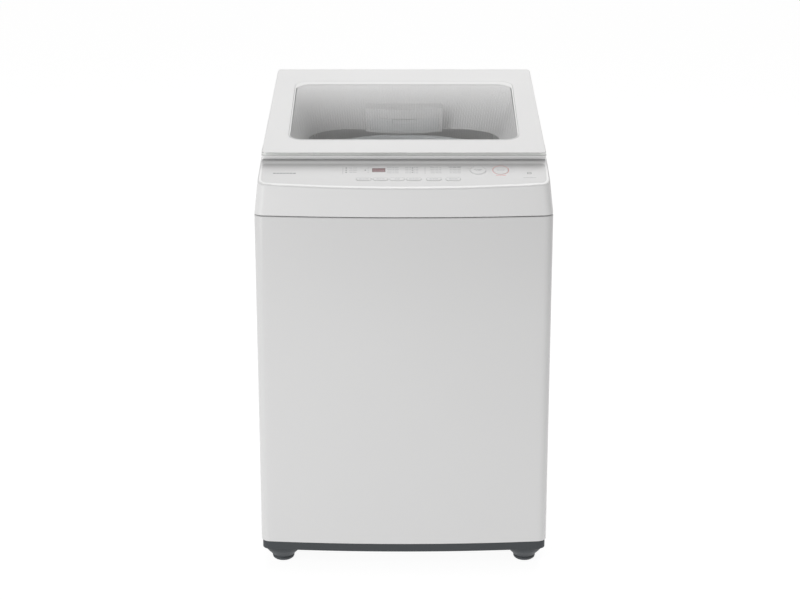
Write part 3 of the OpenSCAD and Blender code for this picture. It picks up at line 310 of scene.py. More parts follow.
# Tinted acrylic over the display: deep red with a satin anti-glare face
RED_LENS = finish("smoked_red_acrylic", ("#4c141c", "#561922"), 12, (0.3, 0.36), 2.0, 0.001)
# Galvanised sheet of the back panel and the brackets
GALVANISED = spangled("galvanised_sheet", ("#b9bdbf", "#d3d6d7"), (0.32, 0.5), 7)
BOARD = tracked_board("solder_masked_board")
GLASS = pane("toughened_glass", ("#f7f7f7", "#f9f9f9"))
# Ceramic frit fired on the glass: white, with a satin face
FRIT = finish("white_ceramic_frit", ("#e1e1e1", "#e5e5e5"), 30, (0.45, 0.5), 1.0, 0.002)
# Pad-printing inks: thin, flat layers
GREY_INK = finish("grey_printing_ink", ("#8d9092", "#96999b"), 4, (0.4, 0.5), 0.5, 0.001)
DARK_INK = finish("dark_printing_ink", ("#5c5f62", "#67696c"), 4, (0.4, 0.5), 0.5, 0.001)
RED_INK = finish("red_printing_ink", ("#cf6f66", "#d67a71"), 4, (0.4, 0.5), 0.5, 0.001)
# Unlit segments of the display: a paler red under the lens's tint
UNLIT = finish("unlit_display_segments", ("#7d343a", "#86393f"), 3, (0.3, 0.4), 0.5, 0.001)
# White paper under the machine: matt, and bright enough to run into the white room
PAPER = finish("white_paper_floor", ("#606060", "#646464"), 900, (0.85, 0.95), 2.0, 0.01,
               Emission_Color=(1.0, 1.0, 1.0, 1.0), Emission_Strength=0.93)


# ---------------------------------------------------------------- shapes


def skin(rings, round_way=True, long_way=False, caps=True):
    """A surface through rings of points; either way may close on itself, and open ends may be
    capped."""
    bm = bmesh.new()
    rows = [[bm.verts.new(p) for p in ring] for ring in rings]
    n, m = len(rows[0]), len(rows)
    for i in range(m if long_way else m - 1):
        for j in range(n if round_way else n - 1):
            a, b = rows[i], rows[(i + 1) % m]
            bm.faces.new((a[j], a[(j + 1) % n], b[(j + 1) % n], b[j]))
    if caps and not long_way:
        bm.faces.new(reversed(rows[0]))
        bm.faces.new(rows[-1])
    bmesh.ops.recalc_face_normals(bm, faces=bm.faces)
    return bm


def arc(cx, cy, r, start, end, n):
    """n + 1 points on an arc, its angles in degrees."""
    return [(cx + r * math.cos(math.radians(start + (end - start) * i / n)),
             cy + r * math.sin(math.radians(start + (end - start) * i / n))) for i in range(n + 1)]


def lathe(profile, steps, centre=(0, 0)):
    """A closed profile of (radius, height) in millimetres, turned round an upright axis."""
    rings = [[((centre[0] + r * math.cos(a)) * MM, (centre[1] + r * math.sin(a)) * MM, z * MM)
              for r, z in profile]
             for a in (2 * math.pi * i / steps for i in range(steps))]
    return skin(rings, long_way=True)


def rounded(points, radius, steps=3):
    """A closed profile with its corners cut round."""
    out = []
    n = len(points)
    for i in range(n):
        a, b, c = (Vector(points[(i + k) % n]) for k in (-1, 0, 1))
        reach = min(radius, (a - b).length * 0.45, (c - b).length * 0.45)
        p, q = b + (a - b).normalized() * reach, b + (c - b).normalized() * reach
        for k in range(steps + 1):
            t = k / steps
            out.append(tuple(p * (1 - t) ** 2 + b * (2 * t * (1 - t)) + q * t ** 2))
    return out


def finished(name, bm, body, material, stands_for=(), sharp=32, soft=0.0,
             weighted=False):
    """A bmesh made into a piece that rides on body. soft rounds its edges, in millimetres."""
    mesh = bpy.data.meshes.new(name)
    bm.to_mesh(mesh)
    bm.free()
    mesh.materials.append(material)
    mesh.shade_smooth()
    mesh.set_sharp_from_angle(angle=math.radians(sharp))
    made = bpy.data.objects.new(name, mesh)
    bpy.context.scene.collection.objects.link(made)
    if soft:
        edge = made.modifiers.new("rounded_edges", "BEVEL")
        edge.width = soft * MM
        edge.segments = 3
        edge.limit_method = "WEIGHT" if weighted else "ANGLE"
        edge.angle_limit = math.radians(sharp)
        edge.use_clamp_overlap = not weighted
        edge.harden_normals = True
    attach(made, body)
    if stands_for:
        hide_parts(*stands_for)
    return made


def copied(node):
    """A CAD node's mesh as one merged surface, without the seams between its flat triangles."""
    bm = bmesh.new()
    bm.from_mesh(frame["nodes"][node].data)
    bmesh.ops.remove_doubles(bm, verts=bm.verts, dist=1e-6)
    bmesh.ops.dissolve_limit(bm, angle_limit=math.radians(0.05), verts=bm.verts, edges=bm.edges)
    return bm


def softened(node, soft, material, rule=None, sharp=25):
    """Stands for a CAD node with the rounded edges that moulding or pressing leaves.

    rule gives each sharp edge its share of the radius from its middle point in millimetres."""
    bm = copied(node)
    if rule:
        share = bm.edges.layers.float.new("bevel_weight_edge")
        for e in bm.edges:
            if len(e.link_faces) == 2 and e.calc_face_angle() > math.radians(9):
                middle = (e.verts[0].co + e.verts[1].co) / 2 / MM
                e[share] = rule(middle, e.calc_face_angle(), [f.normal for f in e.link_faces])
    return finished(node + "_moulded", bm, frame["nodes"][node]["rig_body"], material, (node,),
                    sharp, soft, bool(rule))


def grown(name, base, tree, values, body, material, stands_for=(), sharp=32):
    """Runs a Geometry Nodes tree on a small base mesh and keeps its result as a plain piece."""
    mesh = bpy.data.meshes.new(name + "_base")
    base.to_mesh(mesh)
    base.free()
    holder = bpy.data.objects.new(name + "_base", mesh)
    bpy.context.scene.collection.objects.link(holder)
    maker = holder.modifiers.new("maker", "NODES")
    maker.node_group = tree
    for dresser in (n for n in tree.nodes if n.bl_idname == "GeometryNodeSetMaterial"):
        dresser.inputs["Material"].default_value = material
    for item in tree.interface.items_tree:
        if item.in_out == "INPUT" and item.name in values:
            maker[item.identifier] = values[item.name]
    bpy.context.view_layer.update()
    done = holder.evaluated_get(bpy.context.evaluated_depsgraph_get())
    got = bpy.data.meshes.new_from_object(done)
    bpy.data.objects.remove(holder)
    bm = bmesh.new()
    bm.from_mesh(got)
    bmesh.ops.recalc_face_normals(bm, faces=bm.faces)
    return finished(name, bm, body, material, stands_for, sharp=sharp)


def blank_tree(name, inputs):
    """A Geometry Nodes tree with a geometry input, the named number inputs, and its two ends."""
    tree = bpy.data.node_groups.new(name, "GeometryNodeTree")
    tree.interface.new_socket("Geometry", in_out="INPUT", socket_type="NodeSocketGeometry")
    for label, value in inputs.items():
        made = tree.interface.new_socket(label, in_out="INPUT", socket_type="NodeSocketFloat")
        made.default_value = value
    tree.interface.new_socket("Geometry", in_out="OUTPUT", socket_type="NodeSocketGeometry")
    return tree, tree.nodes.new("NodeGroupInput"), tree.nodes.new("NodeGroupOutput")


def repeated(name, inputs, place):
    """A tree that repeats its base mesh; place(tree, start) gives the points and their turns."""
    tree, start, end = blank_tree(name,
                                  {**inputs, "Centre X": 0.0, "Centre Y": 0.0, "Centre Z": 0.0})
    points, turn = place(tree, start)
    copies = add(tree, "GeometryNodeInstanceOnPoints",
                 {"Points": points, "Instance": start.outputs["Geometry"]})
    if turn:
        tree.links.new(turn, copies.inputs["Rotation"])
    real = add(tree, "GeometryNodeRealizeInstances", {"Geometry": copies.outputs[0]})
    joined = add(tree, "GeometryNodeMergeByDistance",
                 {"Geometry": real.outputs[0], "Distance": 1e-5})
    centre = add(tree, "ShaderNodeCombineXYZ", {k: start.outputs["Centre " + k] for k in "XYZ"})
    moved = add(tree, "GeometryNodeTransform",
                {"Geometry": joined.outputs[0], "Translation": centre.outputs[0]})
    dressed = add(tree, "GeometryNodeSetMaterial", {"Geometry": moved.outputs[0]})
    tree.links.new(dressed.outputs[0], end.inputs[0])
    return tree


def round_an_axis(tree, start):
    """Points on the axis, each turned by its share of a full turn."""
    count = start.outputs["Count"]
    line = add(tree, "GeometryNodeMeshLine", {"Count": count, "Offset": (0, 0, 0)})
    index = add(tree, "GeometryNodeInputIndex")
    step = add(tree, "ShaderNodeMath", {0: 2 * math.pi, 1: count}, operation="DIVIDE")
    angle = add(tree, "ShaderNodeMath", {0: index.outputs[0], 1: step.outputs[0]},
                operation="MULTIPLY")
    return line.outputs[0], add(tree, "ShaderNodeCombineXYZ", {"Z": angle.outputs[0]}).outputs[0]


def up_a_row(tree, start):
    """Points one above the other."""
    offset = add(tree, "ShaderNodeCombineXYZ", {"Z": start.outputs["Step"]})
    line = add(tree, "GeometryNodeMeshLine",
               {"Count": start.outputs["Count"], "Offset": offset.outputs[0]})
    return line.outputs[0], None


def dotted():
    """A flat disc on every point of the base mesh, as wide as the point's own dot value."""
    tree, start, end = blank_tree("frit_dots", {"Tilt": LID_TILT})
    disc = add(tree, "GeometryNodeMeshCircle", {"Vertices": 8, "Radius": 1.0}, fill_type="NGON")
    width = add(tree, "GeometryNodeInputNamedAttribute", {"Name": "dot"}, data_type="FLOAT")
    lean = add(tree, "ShaderNodeMath", {0: start.outputs["Tilt"]}, operation="RADIANS")
    turn = add(tree, "ShaderNodeCombineXYZ", {"X": lean.outputs[0]})
    copies = add(tree, "GeometryNodeInstanceOnPoints",
                 {"Points": start.outputs["Geometry"], "Instance": disc.outputs[0],
                  "Scale": width.outputs[0], "Rotation": turn.outputs[0]})
    real = add(tree, "GeometryNodeRealizeInstances", {"Geometry": copies.outputs[0]})
    dressed = add(tree, "GeometryNodeSetMaterial", {"Geometry": real.outputs[0]})
    tree.links.new(dressed.outputs[0], end.inputs[0])
    return tree


def cross_head():
    """A pan head with a cross recess on every point of the base mesh, facing along +Y."""
    tree, start, end = blank_tree("cross_head_screws", {"Radius": 0.004, "Height": 0.0024})
    r, h = start.outputs["Radius"], start.outputs["Height"]
    crown = add(tree, "ShaderNodeMath", {0: r, 1: 0.72}, operation="MULTIPLY")
    head = add(tree, "GeometryNodeMeshCone",
               {"Vertices": 24, "Radius Top": crown.outputs[0], "Radius Bottom": r,
                                              "Depth": h})
    arm = add(tree, "ShaderNodeMath", {0: r, 1: 1.05}, operation="MULTIPLY")
    width = add(tree, "ShaderNodeMath", {0: r, 1: 0.24}, operation="MULTIPLY")
    blades = [add(tree, "GeometryNodeMeshCube",
                  {"Size": add(tree, "ShaderNodeCombineXYZ",
                               dict(zip("XYZ", size))).outputs[0]}).outputs[0]
              for size in ((arm.outputs[0], width.outputs[0], h),
                           (width.outputs[0], arm.outputs[0], h))]
    cross = add(tree, "GeometryNodeJoinGeometry")
    for blade in blades:
        tree.links.new(blade, cross.inputs[0])
    lifted = add(tree, "ShaderNodeMath", {0: h, 1: 1.1}, operation="MULTIPLY")
    raised = add(tree, "GeometryNodeTransform",
                 {"Geometry": cross.outputs[0],
                  "Translation": add(tree, "ShaderNodeCombineXYZ",
                                     {"Z": lifted.outputs[0]}).outputs[0]})
    cut = add(tree, "GeometryNodeMeshBoolean", operation="DIFFERENCE")
    tree.links.new(head.outputs[0], cut.inputs[0])
    tree.links.new(raised.outputs[0], cut.inputs[1])
    turned_head = add(tree, "GeometryNodeTransform", {"Geometry": cut.outputs[0],
                                                      "Rotation": (math.radians(-90), 0, 0)})
    copies = add(tree, "GeometryNodeInstanceOnPoints",
                 {"Points": start.outputs["Geometry"], "Instance": turned_head.outputs[0]})
    real = add(tree, "GeometryNodeRealizeInstances", {"Geometry": copies.outputs[0]})
    dressed = add(tree, "GeometryNodeSetMaterial", {"Geometry": real.outputs[0]})
    tree.links.new(dressed.outputs[0], end.inputs[0])
    return tree


# ---------------------------------------------------------------- cabinet and base


def outline(inset, half, y0, y1, gap):
    """The cabinet's outline in millimetres, from one edge of the rear gap round the bowed front
    to the other."""
    rise, front_r, rear_r = 14, 18, 14
    bow = (half ** 2 + rise ** 2) / (2 * rise)
    turn = math.degrees(math.asin((half - front_r) / (bow - front_r)))
    bow_y = y0 - rise + bow
    corner_y = bow_y - (bow - front_r) * math.cos(math.radians(turn))
    right = [(gap, y1 - inset)]
    right += arc(half - rear_r, y1 - rear_r, rear_r - inset, 90, 0, 8)
    right += arc(half - front_r, corner_y, front_r - inset, 0, turn - 90, 12)
    front = arc(0, bow_y, bow - inset, turn - 90, -turn - 90, 40)
    return right + front[1:-1] + [(-x, y) for x, y in reversed(right)]


def cabinet():
    """The one-piece wrap: a thin sheet with rolled corners, its top and bottom edges turned
    inward."""
    low, high = (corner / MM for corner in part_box("cabinet_wrap"))
    half, y0, y1, z0, z1 = high.x, low.y + 14, high.y, low.z, high.z
    fold = [(12, z0), (1.6, z0), (0.5, z0 + 0.5), (0, z0 + 1.6), (0, z1 - 1.6), (0.5, z1 - 0.5),
            (1.6, z1), (12, z1),
            (12, z1 - 1), (2, z1 - 1), (1, z1 - 2), (1, z0 + 2), (2, z0 + 1), (12, z0 + 1)]
    rows = [outline(inset, half, y0, y1, 232) for inset, z in fold]
    rings = [[(x * MM, y * MM, z * MM) for (x, y), (inset, z) in zip(station, fold)]
             for station in zip(*rows)]
    finished("cabinet_wrap_sheet", skin(rings), "cabinet", ENAMEL, ("cabinet_wrap",),
             sharp=50)


def back():
    """The pressed back panel, with a hood over each vent slot and its screws."""
    softened("back_panel", 0.9, GALVANISED)
    lip = [(0, 98.2), (1.6, 97.6), (2.6, 96), (3, 94), (2.4, 94), (2, 95.6), (1.2, 96.9), (0, 97.4)]
    face, root = 268, 94
    rings = [[(x * MM, (face + y * k) * MM, (root + (z - root) * k) * MM) for y, z in lip]
             for x, k in ((16, 0.3), (17, 0.75), (19, 1), (111, 1), (113, 0.75), (114, 0.3))]
    tree = repeated("vent_hoods", {"Count": 8, "Step": 0.011}, up_a_row)
    grown("vent_hoods", skin(rings), tree, {"Count": 8.0, "Step": 0.011}, "cabinet", GALVANISED)
    heads = bmesh.new()
    for x in (-243, 243):
        for z in (80, 280, 480, 670):
            heads.verts.new((x * MM, (face + 1.2) * MM, z * MM))
    grown("back_panel_screws", heads, cross_head(), {"Radius": 0.004, "Height": 0.0024}, "cabinet",
          ZINC, ("fasteners",), sharp=30)
    nuts = bmesh.new()
    for foot in ("foot_left", "foot_right"):
        middle = sum(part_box(foot), Vector()) / 2 / MM
        ring = lathe(rounded([(5.05, 53.1), (9.2, 53.1), (9.2, 59), (5.05, 59)], 0.5), 6,
                     (middle.x, middle.y))
        part = bpy.data.meshes.new("nut")
        ring.to_mesh(part)
        ring.free()
        nuts.from_mesh(part)
    finished("foot_lock_nuts", nuts, "cabinet", ZINC, sharp=20)


# ---------------------------------------------------------------- top cover, panel and lid


def cover_edge(middle, angle, normals):
    """Share of the cover's 3 mm radius: whole along its outer rim, less inside, and none on the
    hinge knuckles."""
    sharp = angle > math.radians(40)
    if 188 < abs(middle.x) < 212 and middle.y > 240:
        return 0.0
    upright = min(abs(n.z) for n in normals) < 0.03
    if upright and 735 < middle.z < 776 and max(n.z for n in normals) < 0.96:
        return 0.04
    outer = abs(middle.x) > 236 or middle.y > 262 or middle.y < -262
    if outer and sharp and middle.z > 720 and max(n.z for n in normals) > 0.8:
        return 1.0
    if middle.z < 694.5:
        return 0.15
    if not sharp:
        flat = all(n.z > 0.9 for n in normals)
        return 0.6 if flat and abs(normals[0].y - normals[1].y) > 0.12 else 0.0
    return 0.3 if min(n.z for n in normals) < 0.9 and max(n.z for n in normals) > 0.8 else 0.1


def lid_edge(middle, angle, _):
    """Share of the lid's 1.4 mm radius: whole on its top edges, less below."""
    local = LID.inverted() @ (middle * MM) / MM
    if angle < math.radians(40):
        return 0.0
    return 1.0 if local.z > -0.4 else 0.3


def window_outline(inset, rear):
    """The window's rounded outline in the lid's own plane, moved inward by inset and its rear
    edge by rear."""
    half, low = WINDOW_HALF - inset, WINDOW_FRONT + inset
    high, r = WINDOW_REAR - rear, WINDOW_CORNER - inset
    return (arc(half - r, low + r, r, -90, 0, 10) + arc(half - r, high - r, r, 0, 90, 10)
            + arc(-half + r, high - r, r, 90, 180, 10) + arc(-half + r, low + r, r, 180, 270, 10))


def glass():
    """A pane held under the lid's skin, stepped so that its middle stands flush with the lid."""
    under, gap = 12, 0.12
    steps = ((-under, -under, -6), (-under, -under, -3.05), (gap, gap, -3.05),
             (gap, gap, PRINT - 0.25), (0.3, 0.3, PRINT - 0.05))
    loops = [[LID @ Vector((x * MM, y * MM, z * MM)) for x, y in window_outline(inset, rear)]
             for inset, rear, z in steps]
    finished("lid_glass_pane", skin(loops), "lid", GLASS, ("lid_glass",),
             sharp=20)


def frit():
    """White ceramic on the glass: a solid border, and dots that touch at the back and thin out
    to the front."""
    low, high, step = WINDOW_FRONT, 366, 3.2
    half, corner = WINDOW_HALF, WINDOW_CORNER
    thinnest, growth, power = 0.06, 0.76, 1.15
    bm = bmesh.new()
    size = bm.verts.layers.float.new("dot")
    row, y = 0, low + 4.5
    while y < high:
        back = (y - low) / (high - low)
        cover = thinnest + growth * min(1.0, max(0.0, (back - 0.1) / 0.86)) ** power
        radius = math.sqrt(cover * 2 * step * step / math.pi)
        inset = corner - math.sqrt(corner ** 2 - max(0.0, corner - (y - low)) ** 2)
        reach = half - 4 - inset
        count = int(reach / step / 2)
        for i in range(-count - 1, count + 2):
            x = (2 * i + row % 2) * step
            if abs(x) <= reach:
                point = bm.verts.new(LID @ Vector((x * MM, y * MM, PRINT * MM)))
                point[size] = radius * MM
        y += step
        row += 1
    grown("frit_dots", bm, dotted(), {"Tilt": LID_TILT}, "lid", FRIT)
    edge, rear, thick = 2.6, WINDOW_REAR - high, 0.03
    border = ((0.3, 0.3, 0), (edge, rear, 0), (edge, rear, thick), (0.3, 0.3, thick))
    loops = [[LID @ Vector((x * MM, y * MM, (PRINT + z) * MM))
              for x, y in window_outline(inset, rear)]
             for inset, rear, z in border]
    finished("frit_border", skin(loops, long_way=True), "lid", FRIT, sharp=20)


def lid():
    """The lid: a white moulded frame round toughened glass, a foil strip along its front edge."""
    softened("lid_frame", 1.4, WHITE_ABS, lid_edge)
    softened("lid_inner_frame", 0.4, WHITE_ABS)
    glass()
    softened("lid_trim", 0.5, BRUSHED_FOIL_WITH_PAINTED_REFLECTION)
    softened("lid_bumpers", 0.5, SOFT_GREY)
    frit()


def ink(name, body, material, marks, height=0.0):
    """Flat printed marks on the control panel, in its own plane.

    They are bars (x, y, w, h) and rings (x, y, r, w, a, b), from a to b degrees."""
    bm = bmesh.new()
    for mark in marks:
        if len(mark) == 4:
            x, y, w, h = mark
            loop = [(x - w / 2, y - h / 2), (x + w / 2, y - h / 2), (x + w / 2, y + h / 2),
                    (x - w / 2, y + h / 2)]
        else:
            x, y, r, w, a, b = mark
            steps = max(4, int(abs(b - a) / 6))
            loop = arc(x, y, r - w / 2, a, b, steps) + arc(x, y, r + w / 2, b, a, steps)
        under, over = ([bm.verts.new(PANEL @ Vector((x * MM, y * MM, (height + z) * MM)))
                        for x, y in loop]
                       for z in (0.004, 0.03))
        n = len(loop)
        for i in range(n):
            bm.faces.new((under[i], under[(i + 1) % n], over[(i + 1) % n], over[i]))
        if len(mark) == 4:
            bm.faces.new(over)
            bm.faces.new(reversed(under))
        else:
            for i in range(n // 2 - 1):
                bm.faces.new((over[i], over[i + 1], over[n - 2 - i], over[n - 1 - i]))
                bm.faces.new((under[i + 1], under[i], under[n - 1 - i], under[n - 2 - i]))
    bmesh.ops.recalc_face_normals(bm, faces=bm.faces)
    return finished(name, bm, body, material, sharp=20)


def words(x, y, width, height=1.3, parts=(3, 5, 2, 4)):
    """A caption's worth of plain dashes, centred on a point, with no letters in it."""
    unit = width / (sum(parts) + 0.6 * (len(parts) - 1))
    marks, at = [], x - width / 2
    for part in parts:
        marks.append((at + part * unit / 2, y, part * unit, height))
        at += (part + 0.6) * unit
    return marks


def panel():
    """The control panel with its keys, plain printed legends, indicator dots and display."""
    softened("control_panel", 0.12, PANEL_ABS)
    for i, x in enumerate(PILLS):
        name = "button_" + str(i + 1)
        softened(name, 0.25, PANEL_ABS)
        edge = [(x, PILL_ROW + s * 5.8, 16, 0.35) for s in (-1, 1)]
        edge += [(x + s * 8, PILL_ROW, 5.8, 0.35, -90 * s, 180 - 90 * s) for s in (-1, 1)]
        ink(name + "_outline", "cabinet", GREY_INK, edge)
        ink(name + "_caption", name + "_key", GREY_INK,
            words(x, PILL_ROW, CAPTIONS[i], 1.5, (4, 3, 5)), KEY_TOP)
    softened("start_button", 0.25, PANEL_ABS)
    softened("power_button", 0.25, PANEL_ABS)
    ink("start_caption", "start_button_key", GREY_INK,
        words(134.5, 49, 15, 1.3, (4, 3, 5)) + words(134.5, 45, 9, 1.1, (2, 3))
        + [(134.5, 47, 13.4, 0.7, 195, 345), (134.5, 47, 13.4, 0.5, 15, 60),
           (134.5, 47, 13.4, 0.5, 120, 165)], KEY_TOP)
    ink("power_caption", "power_button_key", GREY_INK, words(175.5, 47, 14, 1.2, (5, 3, 4)),
        KEY_TOP)
    ink("power_ring", "cabinet", RED_INK, [(175.5, 47, 14.6, 0.8, 0, 360)])
    ink("power_note", "cabinet", RED_INK, words(175.5, 29.5, 18, 1.1, (4, 2, 5)))
    legends = [(-110.5, 45, 0.5, 22), (38.4, 45.5, 0.5, 22)]
    columns = ((-20, 21, (5, 2, 4)), (8, 11, (3, 2)), (22, 8, (2, 3)), (58, 20, (4, 3, 2)),
               (93, 20, (2, 4, 3)))
    for y in (56, 50, 44, 38):
        for x, width, parts in columns:
            legends += words(x, y, width, 1.0, parts)
    for y in (54, 47, 40):
        legends += words(-92, y, 14, 1.0, (3, 4)) + [(-64.5, y, 2.4, 1.0)]
    legends += words(92, 57.5, 23, 1.2, (4, 3, 4)) + [(227, 22, 23, 0.8)]
    ink("legends", "cabinet", GREY_INK, legends)
    dots = [(x, y, 1.0, 1.0, 0, 360) for x in (-104.4, 15.8) for y in (54, 47, 40)]
    dots += [(-69.8, 47, 1.0, 1.0, 0, 360)]
    mark = [(227, 37 + s * 2.6, 7.4, 0.8) for s in (-1, 0, 1)]
    mark += [(227 + s * 3.3, 37, 0.8, 5.2) for s in (-1, 1)]
    ink("indicator_dots", "cabinet", DARK_INK, dots + mark)
    ink("maker_line", "cabinet", DARK_INK, words(-216, 36.5, 41, 2.4, (3, 3, 3, 3, 3, 3, 3)))
    segments = []
    for x in (-52.5, -45.5, -38.5):
        segments += [(x, 47 + y, 3.2, 0.7) for y in (-3.6, 0, 3.6)]
        segments += [(x + s * 2.0, 47 + y, 0.7, 2.6) for s in (-1, 1) for y in (-1.8, 1.8)]
    ink("display_segments", "cabinet", UNLIT, segments)


# ---------------------------------------------------------------- drum and pulsator


def drum():
    """A stainless shell of pierced wedges: every hole sits in its own dimple and ribs stand
    between the columns."""
    columns, rows, pitch, plain = 48, 20, 23.4, 9
    rib, dip = 1.6, 1.1
    low, high = (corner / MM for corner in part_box("drum_shell"))
    radius, thick = (high.x - low.x) / 2 - 0.3, 0.7
    wedge = 2 * math.pi / columns
    square = [(-1, -1), (-0.33, -1), (0.33, -1), (1, -1), (1, -0.33), (1, 0.33), (1, 1), (0.33, 1),
              (-0.33, 1), (-1, 1), (-1, 0.33), (-1, -0.33)]
    hole, dimple = ([(r * math.cos(math.radians(a)), r * math.sin(math.radians(a)))
                     for a in range(225, 585, 30)] for r in (0.13, 0.3))

    def place(u, v, depth, row):
        a = wedge * (0.5 + u / 2)
        z = low.z + plain + pitch * (row + 0.5 + v / 2)
        r = radius - depth - rib * max(0.0, abs(u) * 3 - 2)
        return (r * math.cos(a) * MM, r * math.sin(a) * MM, z * MM)

    bm = bmesh.new()
    for row in range(rows):
        inner, outer = ([[bm.verts.new(place(u, v, depth + thick * side, row)) for u, v in loop]
                         for loop, depth in ((square, 0.0), (dimple, 0.0), (hole, -dip))]
                        for side in (1, 0))
        for i in range(12):
            j = (i + 1) % 12
            for a, b in ((0, 1), (1, 2)):
                bm.faces.new((inner[a][i], inner[a][j], inner[b][j], inner[b][i]))
                bm.faces.new((outer[a][j], outer[a][i], outer[b][i], outer[b][j]))
            bm.faces.new((inner[2][i], inner[2][j], outer[2][j], outer[2][i]))
    ends = [-1, -0.33, 0.33, 1]
    for z0, row, v in ((low.z, 0, -1), (high.z, rows - 1, 1)):
        for side in (1, 0):
            edge = [bm.verts.new(place(u, v, thick * side, row)) for u in ends]
            end = [bm.verts.new((p.co.x, p.co.y, z0 * MM)) for p in edge]
            for i in range(3):
                bm.faces.new((edge[i], edge[i + 1], end[i + 1], end[i]))
    bmesh.ops.remove_doubles(bm, verts=bm.verts, dist=1e-5)
    tree = repeated("pierced_wedges", {"Count": columns}, round_an_axis)
    grown("drum_pierced_shell", bm, tree, {"Count": float(columns), "Centre Y": DRUM_AXIS.y},
          "drum", STAINLESS, ("drum_shell",), sharp=60)


def ring():
    """The balance ring: a smooth hollow ring whose lip is the drum's mouth, with low ribs."""
    r0, top, r1 = 154, 735, 214.6
    profile = rounded([(r0 + 6, 700), (172, 688), (213, 676), (213, 690), (r1, 690.4), (r1, 704),
                       (206, 716), (182, 728),
                       (r0 + 14, top), (r0 + 2, top), (r0, top - 3), (r0, 712)], 4)
    finished("balance_ring_moulded", lathe(profile, 144, (0, AXIS_Y)), "drum", PULSATOR_ABS,
             ("balance_ring",), sharp=50)
    rib = [(176, 729.6), (183, 729.2), (204, 718.0), (207, 715.0), (204, 714), (176, 727)]
    rings = [[(r * math.cos(a) * MM, r * math.sin(a) * MM, z * MM) for r, z in rib]
             for a in (-0.006, 0.006)]
    tree = repeated("balance_ring_ribs", {"Count": 36}, round_an_axis)
    grown("balance_ring_ribs", skin(rings), tree, {"Count": 36.0, "Centre Y": DRUM_AXIS.y}, "drum",
          PULSATOR_ABS)


def pulsator():
    """A pulsator of six smooth waves that rise from its rim to its hub, with a zinc cap."""
    low, high = (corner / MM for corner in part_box("pulsator"))
    radius, z0 = 168, low.z
    turns, steps = 120, 36
    waves, bore, collar = 6, 1.5, 9

    def height(r, a):
        share = r / radius
        bowl = 9 + 25 * math.exp(-(r / 34) ** 2) + 5 * (1 - share)
        wave = 0.5 + 0.5 * math.cos(waves * a - 1.6 * share)
        crest = wave ** 3 * 12 * math.sin(math.pi * min(1.0, max(0.0, (r - 22) / 140))) ** 0.8
        lip = 3.0 * max(0.0, (r - 160) / 8) ** 2
        return z0 + bowl + crest + lip

    rings = []
    for i in range(turns):
        a = 2 * math.pi * i / turns
        top = [(r, height(r, a))
               for r in (bore + (radius - bore) * k / steps for k in range(steps + 1))]
        loop = top + [(radius, z0 + 3), (radius - 2, z0 + 0.2), (collar, z0 + 0.2),
                      (collar, z0 + 20), (bore, z0 + 20)]
        rings.append([(r * math.cos(a) * MM, (r * math.sin(a) + AXIS_Y) * MM, z * MM)
                      for r, z in loop])
    finished("pulsator_waves", skin(rings, long_way=True), "wash_drive", PULSATOR_ABS,
             ("pulsator",), sharp=60)
    cap = [(0.2, z0 + 30), (8, z0 + 30), (8, z0 + 40), (5, z0 + 41.5), (0.2, z0 + 41.8)]
    finished("pulsator_cap", lathe(rounded(cap, 1.2), 48, (0, AXIS_Y)), "wash_drive", ZINC,
             sharp=40)


# ---------------------------------------------------------------- the rest of the works


def springs():
    """The four coil springs under the tub's lugs, on which the tub sinks 20 mm; they are wound
    once, at their length in the CAD part.
    """
    low, high = (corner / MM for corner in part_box("suspension_springs"))
    coil, wire, turns, steps = 15, 2, 6, 144
    rise = high.z - low.z - 2 * wire
    bm = bmesh.new()
    for x in (low.x + coil + wire, high.x - coil - wire):
        for y in (low.y + coil + wire, high.y - coil - wire):
            rings = []
            for i in range(steps + 1):
                a, z = 2 * math.pi * turns * i / steps, low.z + wire + rise * i / steps
                ring = [(coil + u, z + v) for u, v in arc(0, 0, wire, 0, 324, 9)]
                rings.append([((x + r * math.cos(a)) * MM, (y + r * math.sin(a)) * MM, h * MM)
                              for r, h in ring])
            part = bpy.data.meshes.new("spring")
            wound = skin(rings)
            wound.to_mesh(part)
            wound.free()
            bm.from_mesh(part)
    made = finished("suspension_coils", bm, "cabinet", ZINC, ("suspension_springs",))
    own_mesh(made)


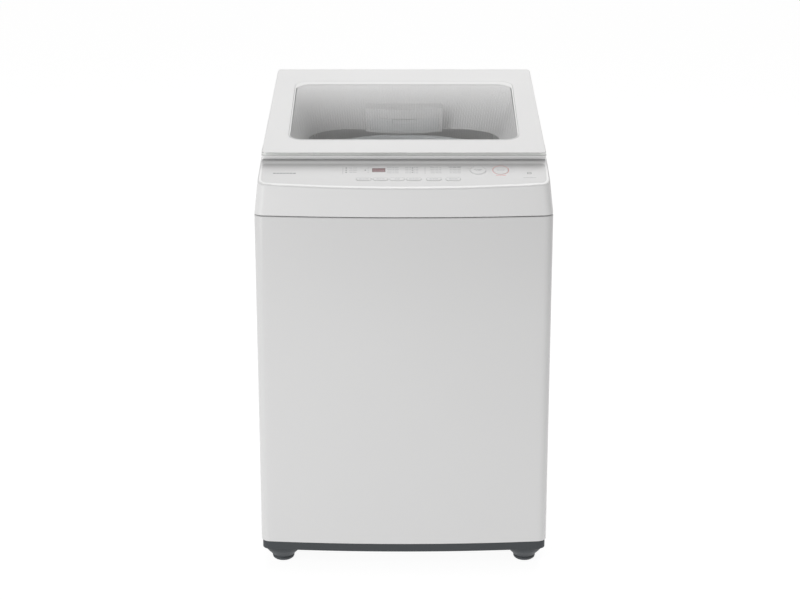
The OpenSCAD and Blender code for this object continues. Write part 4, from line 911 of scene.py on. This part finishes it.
KEPT = {
    "display_window": RED_LENS, "control_board": BOARD, "hinge_pins": ZINC, "lid_switch": NYLON,
    "cable_gland": NYLON, "inlet_hose": RUBBER, "drain_hose": RUBBER, "drive_belt": RUBBER,
    "tub_seal": RUBBER, "suspension_rods": ZINC, "shaft_bearings": MACHINED, "wash_shaft": MACHINED,
    "input_shaft": MACHINED, "motor_rotor": MACHINED, "spin_shaft": CAST, "planet_1": GEAR_NYLON,
    "planet_2": GEAR_NYLON, "planet_3": GEAR_NYLON,
}
SOFTENED = {
    "base_frame": (1.2, DARK_PP), "foot_left": (0.8, DARK_PP), "foot_right": (0.8, DARK_PP),
    "rear_feet": (0.8, DARK_PP),
    "detergent_housing": (1.5, WHITE_ABS), "detergent_drawer": (0.8, DRAWER_PP),
    "board_housing": (0.8, MILKY_PP),
    "inlet_valve": (0.6, WHITE_ABS), "pressure_sensor": (0.8, MILKY_PP),
    "suspension_brackets": (0.6, GALVANISED),
    "damper_cups": (0.6, ACETAL), "outer_tub": (0.8, MILKY_PP), "tub_ring": (0.8, MILKY_PP),
    "drum_base": (0.8, CAST),
    "lint_filters": (0.8, DRAWER_PP), "drive_pulley": (0.8, CAST), "support_plate": (0.8, PAINTED),
    "clutch_lever": (0.6, ZINC), "motor_housing": (1.0, PAINTED), "drain_valve": (0.6, MILKY_PP),
}


def floor():
    """Plain white paper, far wider than the machine."""
    bm = bmesh.new()
    bmesh.ops.create_grid(bm, x_segments=12, y_segments=12, size=24)
    mesh = bpy.data.meshes.new("paper_floor")
    bm.to_mesh(mesh)
    bm.free()
    mesh.materials.append(PAPER)
    made = bpy.data.objects.new("paper_floor", mesh)
    bpy.context.scene.collection.objects.link(made)


camera()
studio()
floor()
for node, material in KEPT.items():
    for i in range(len(frame["nodes"][node].data.materials)):
        frame["nodes"][node].data.materials[i] = material
for node, (soft, material) in SOFTENED.items():
    softened(node, soft, material)
cabinet()
back()
softened("top_cover", 3.0, WHITE_ABS, cover_edge)
panel()
lid()
drum()
ring()
pulsator()
springs()
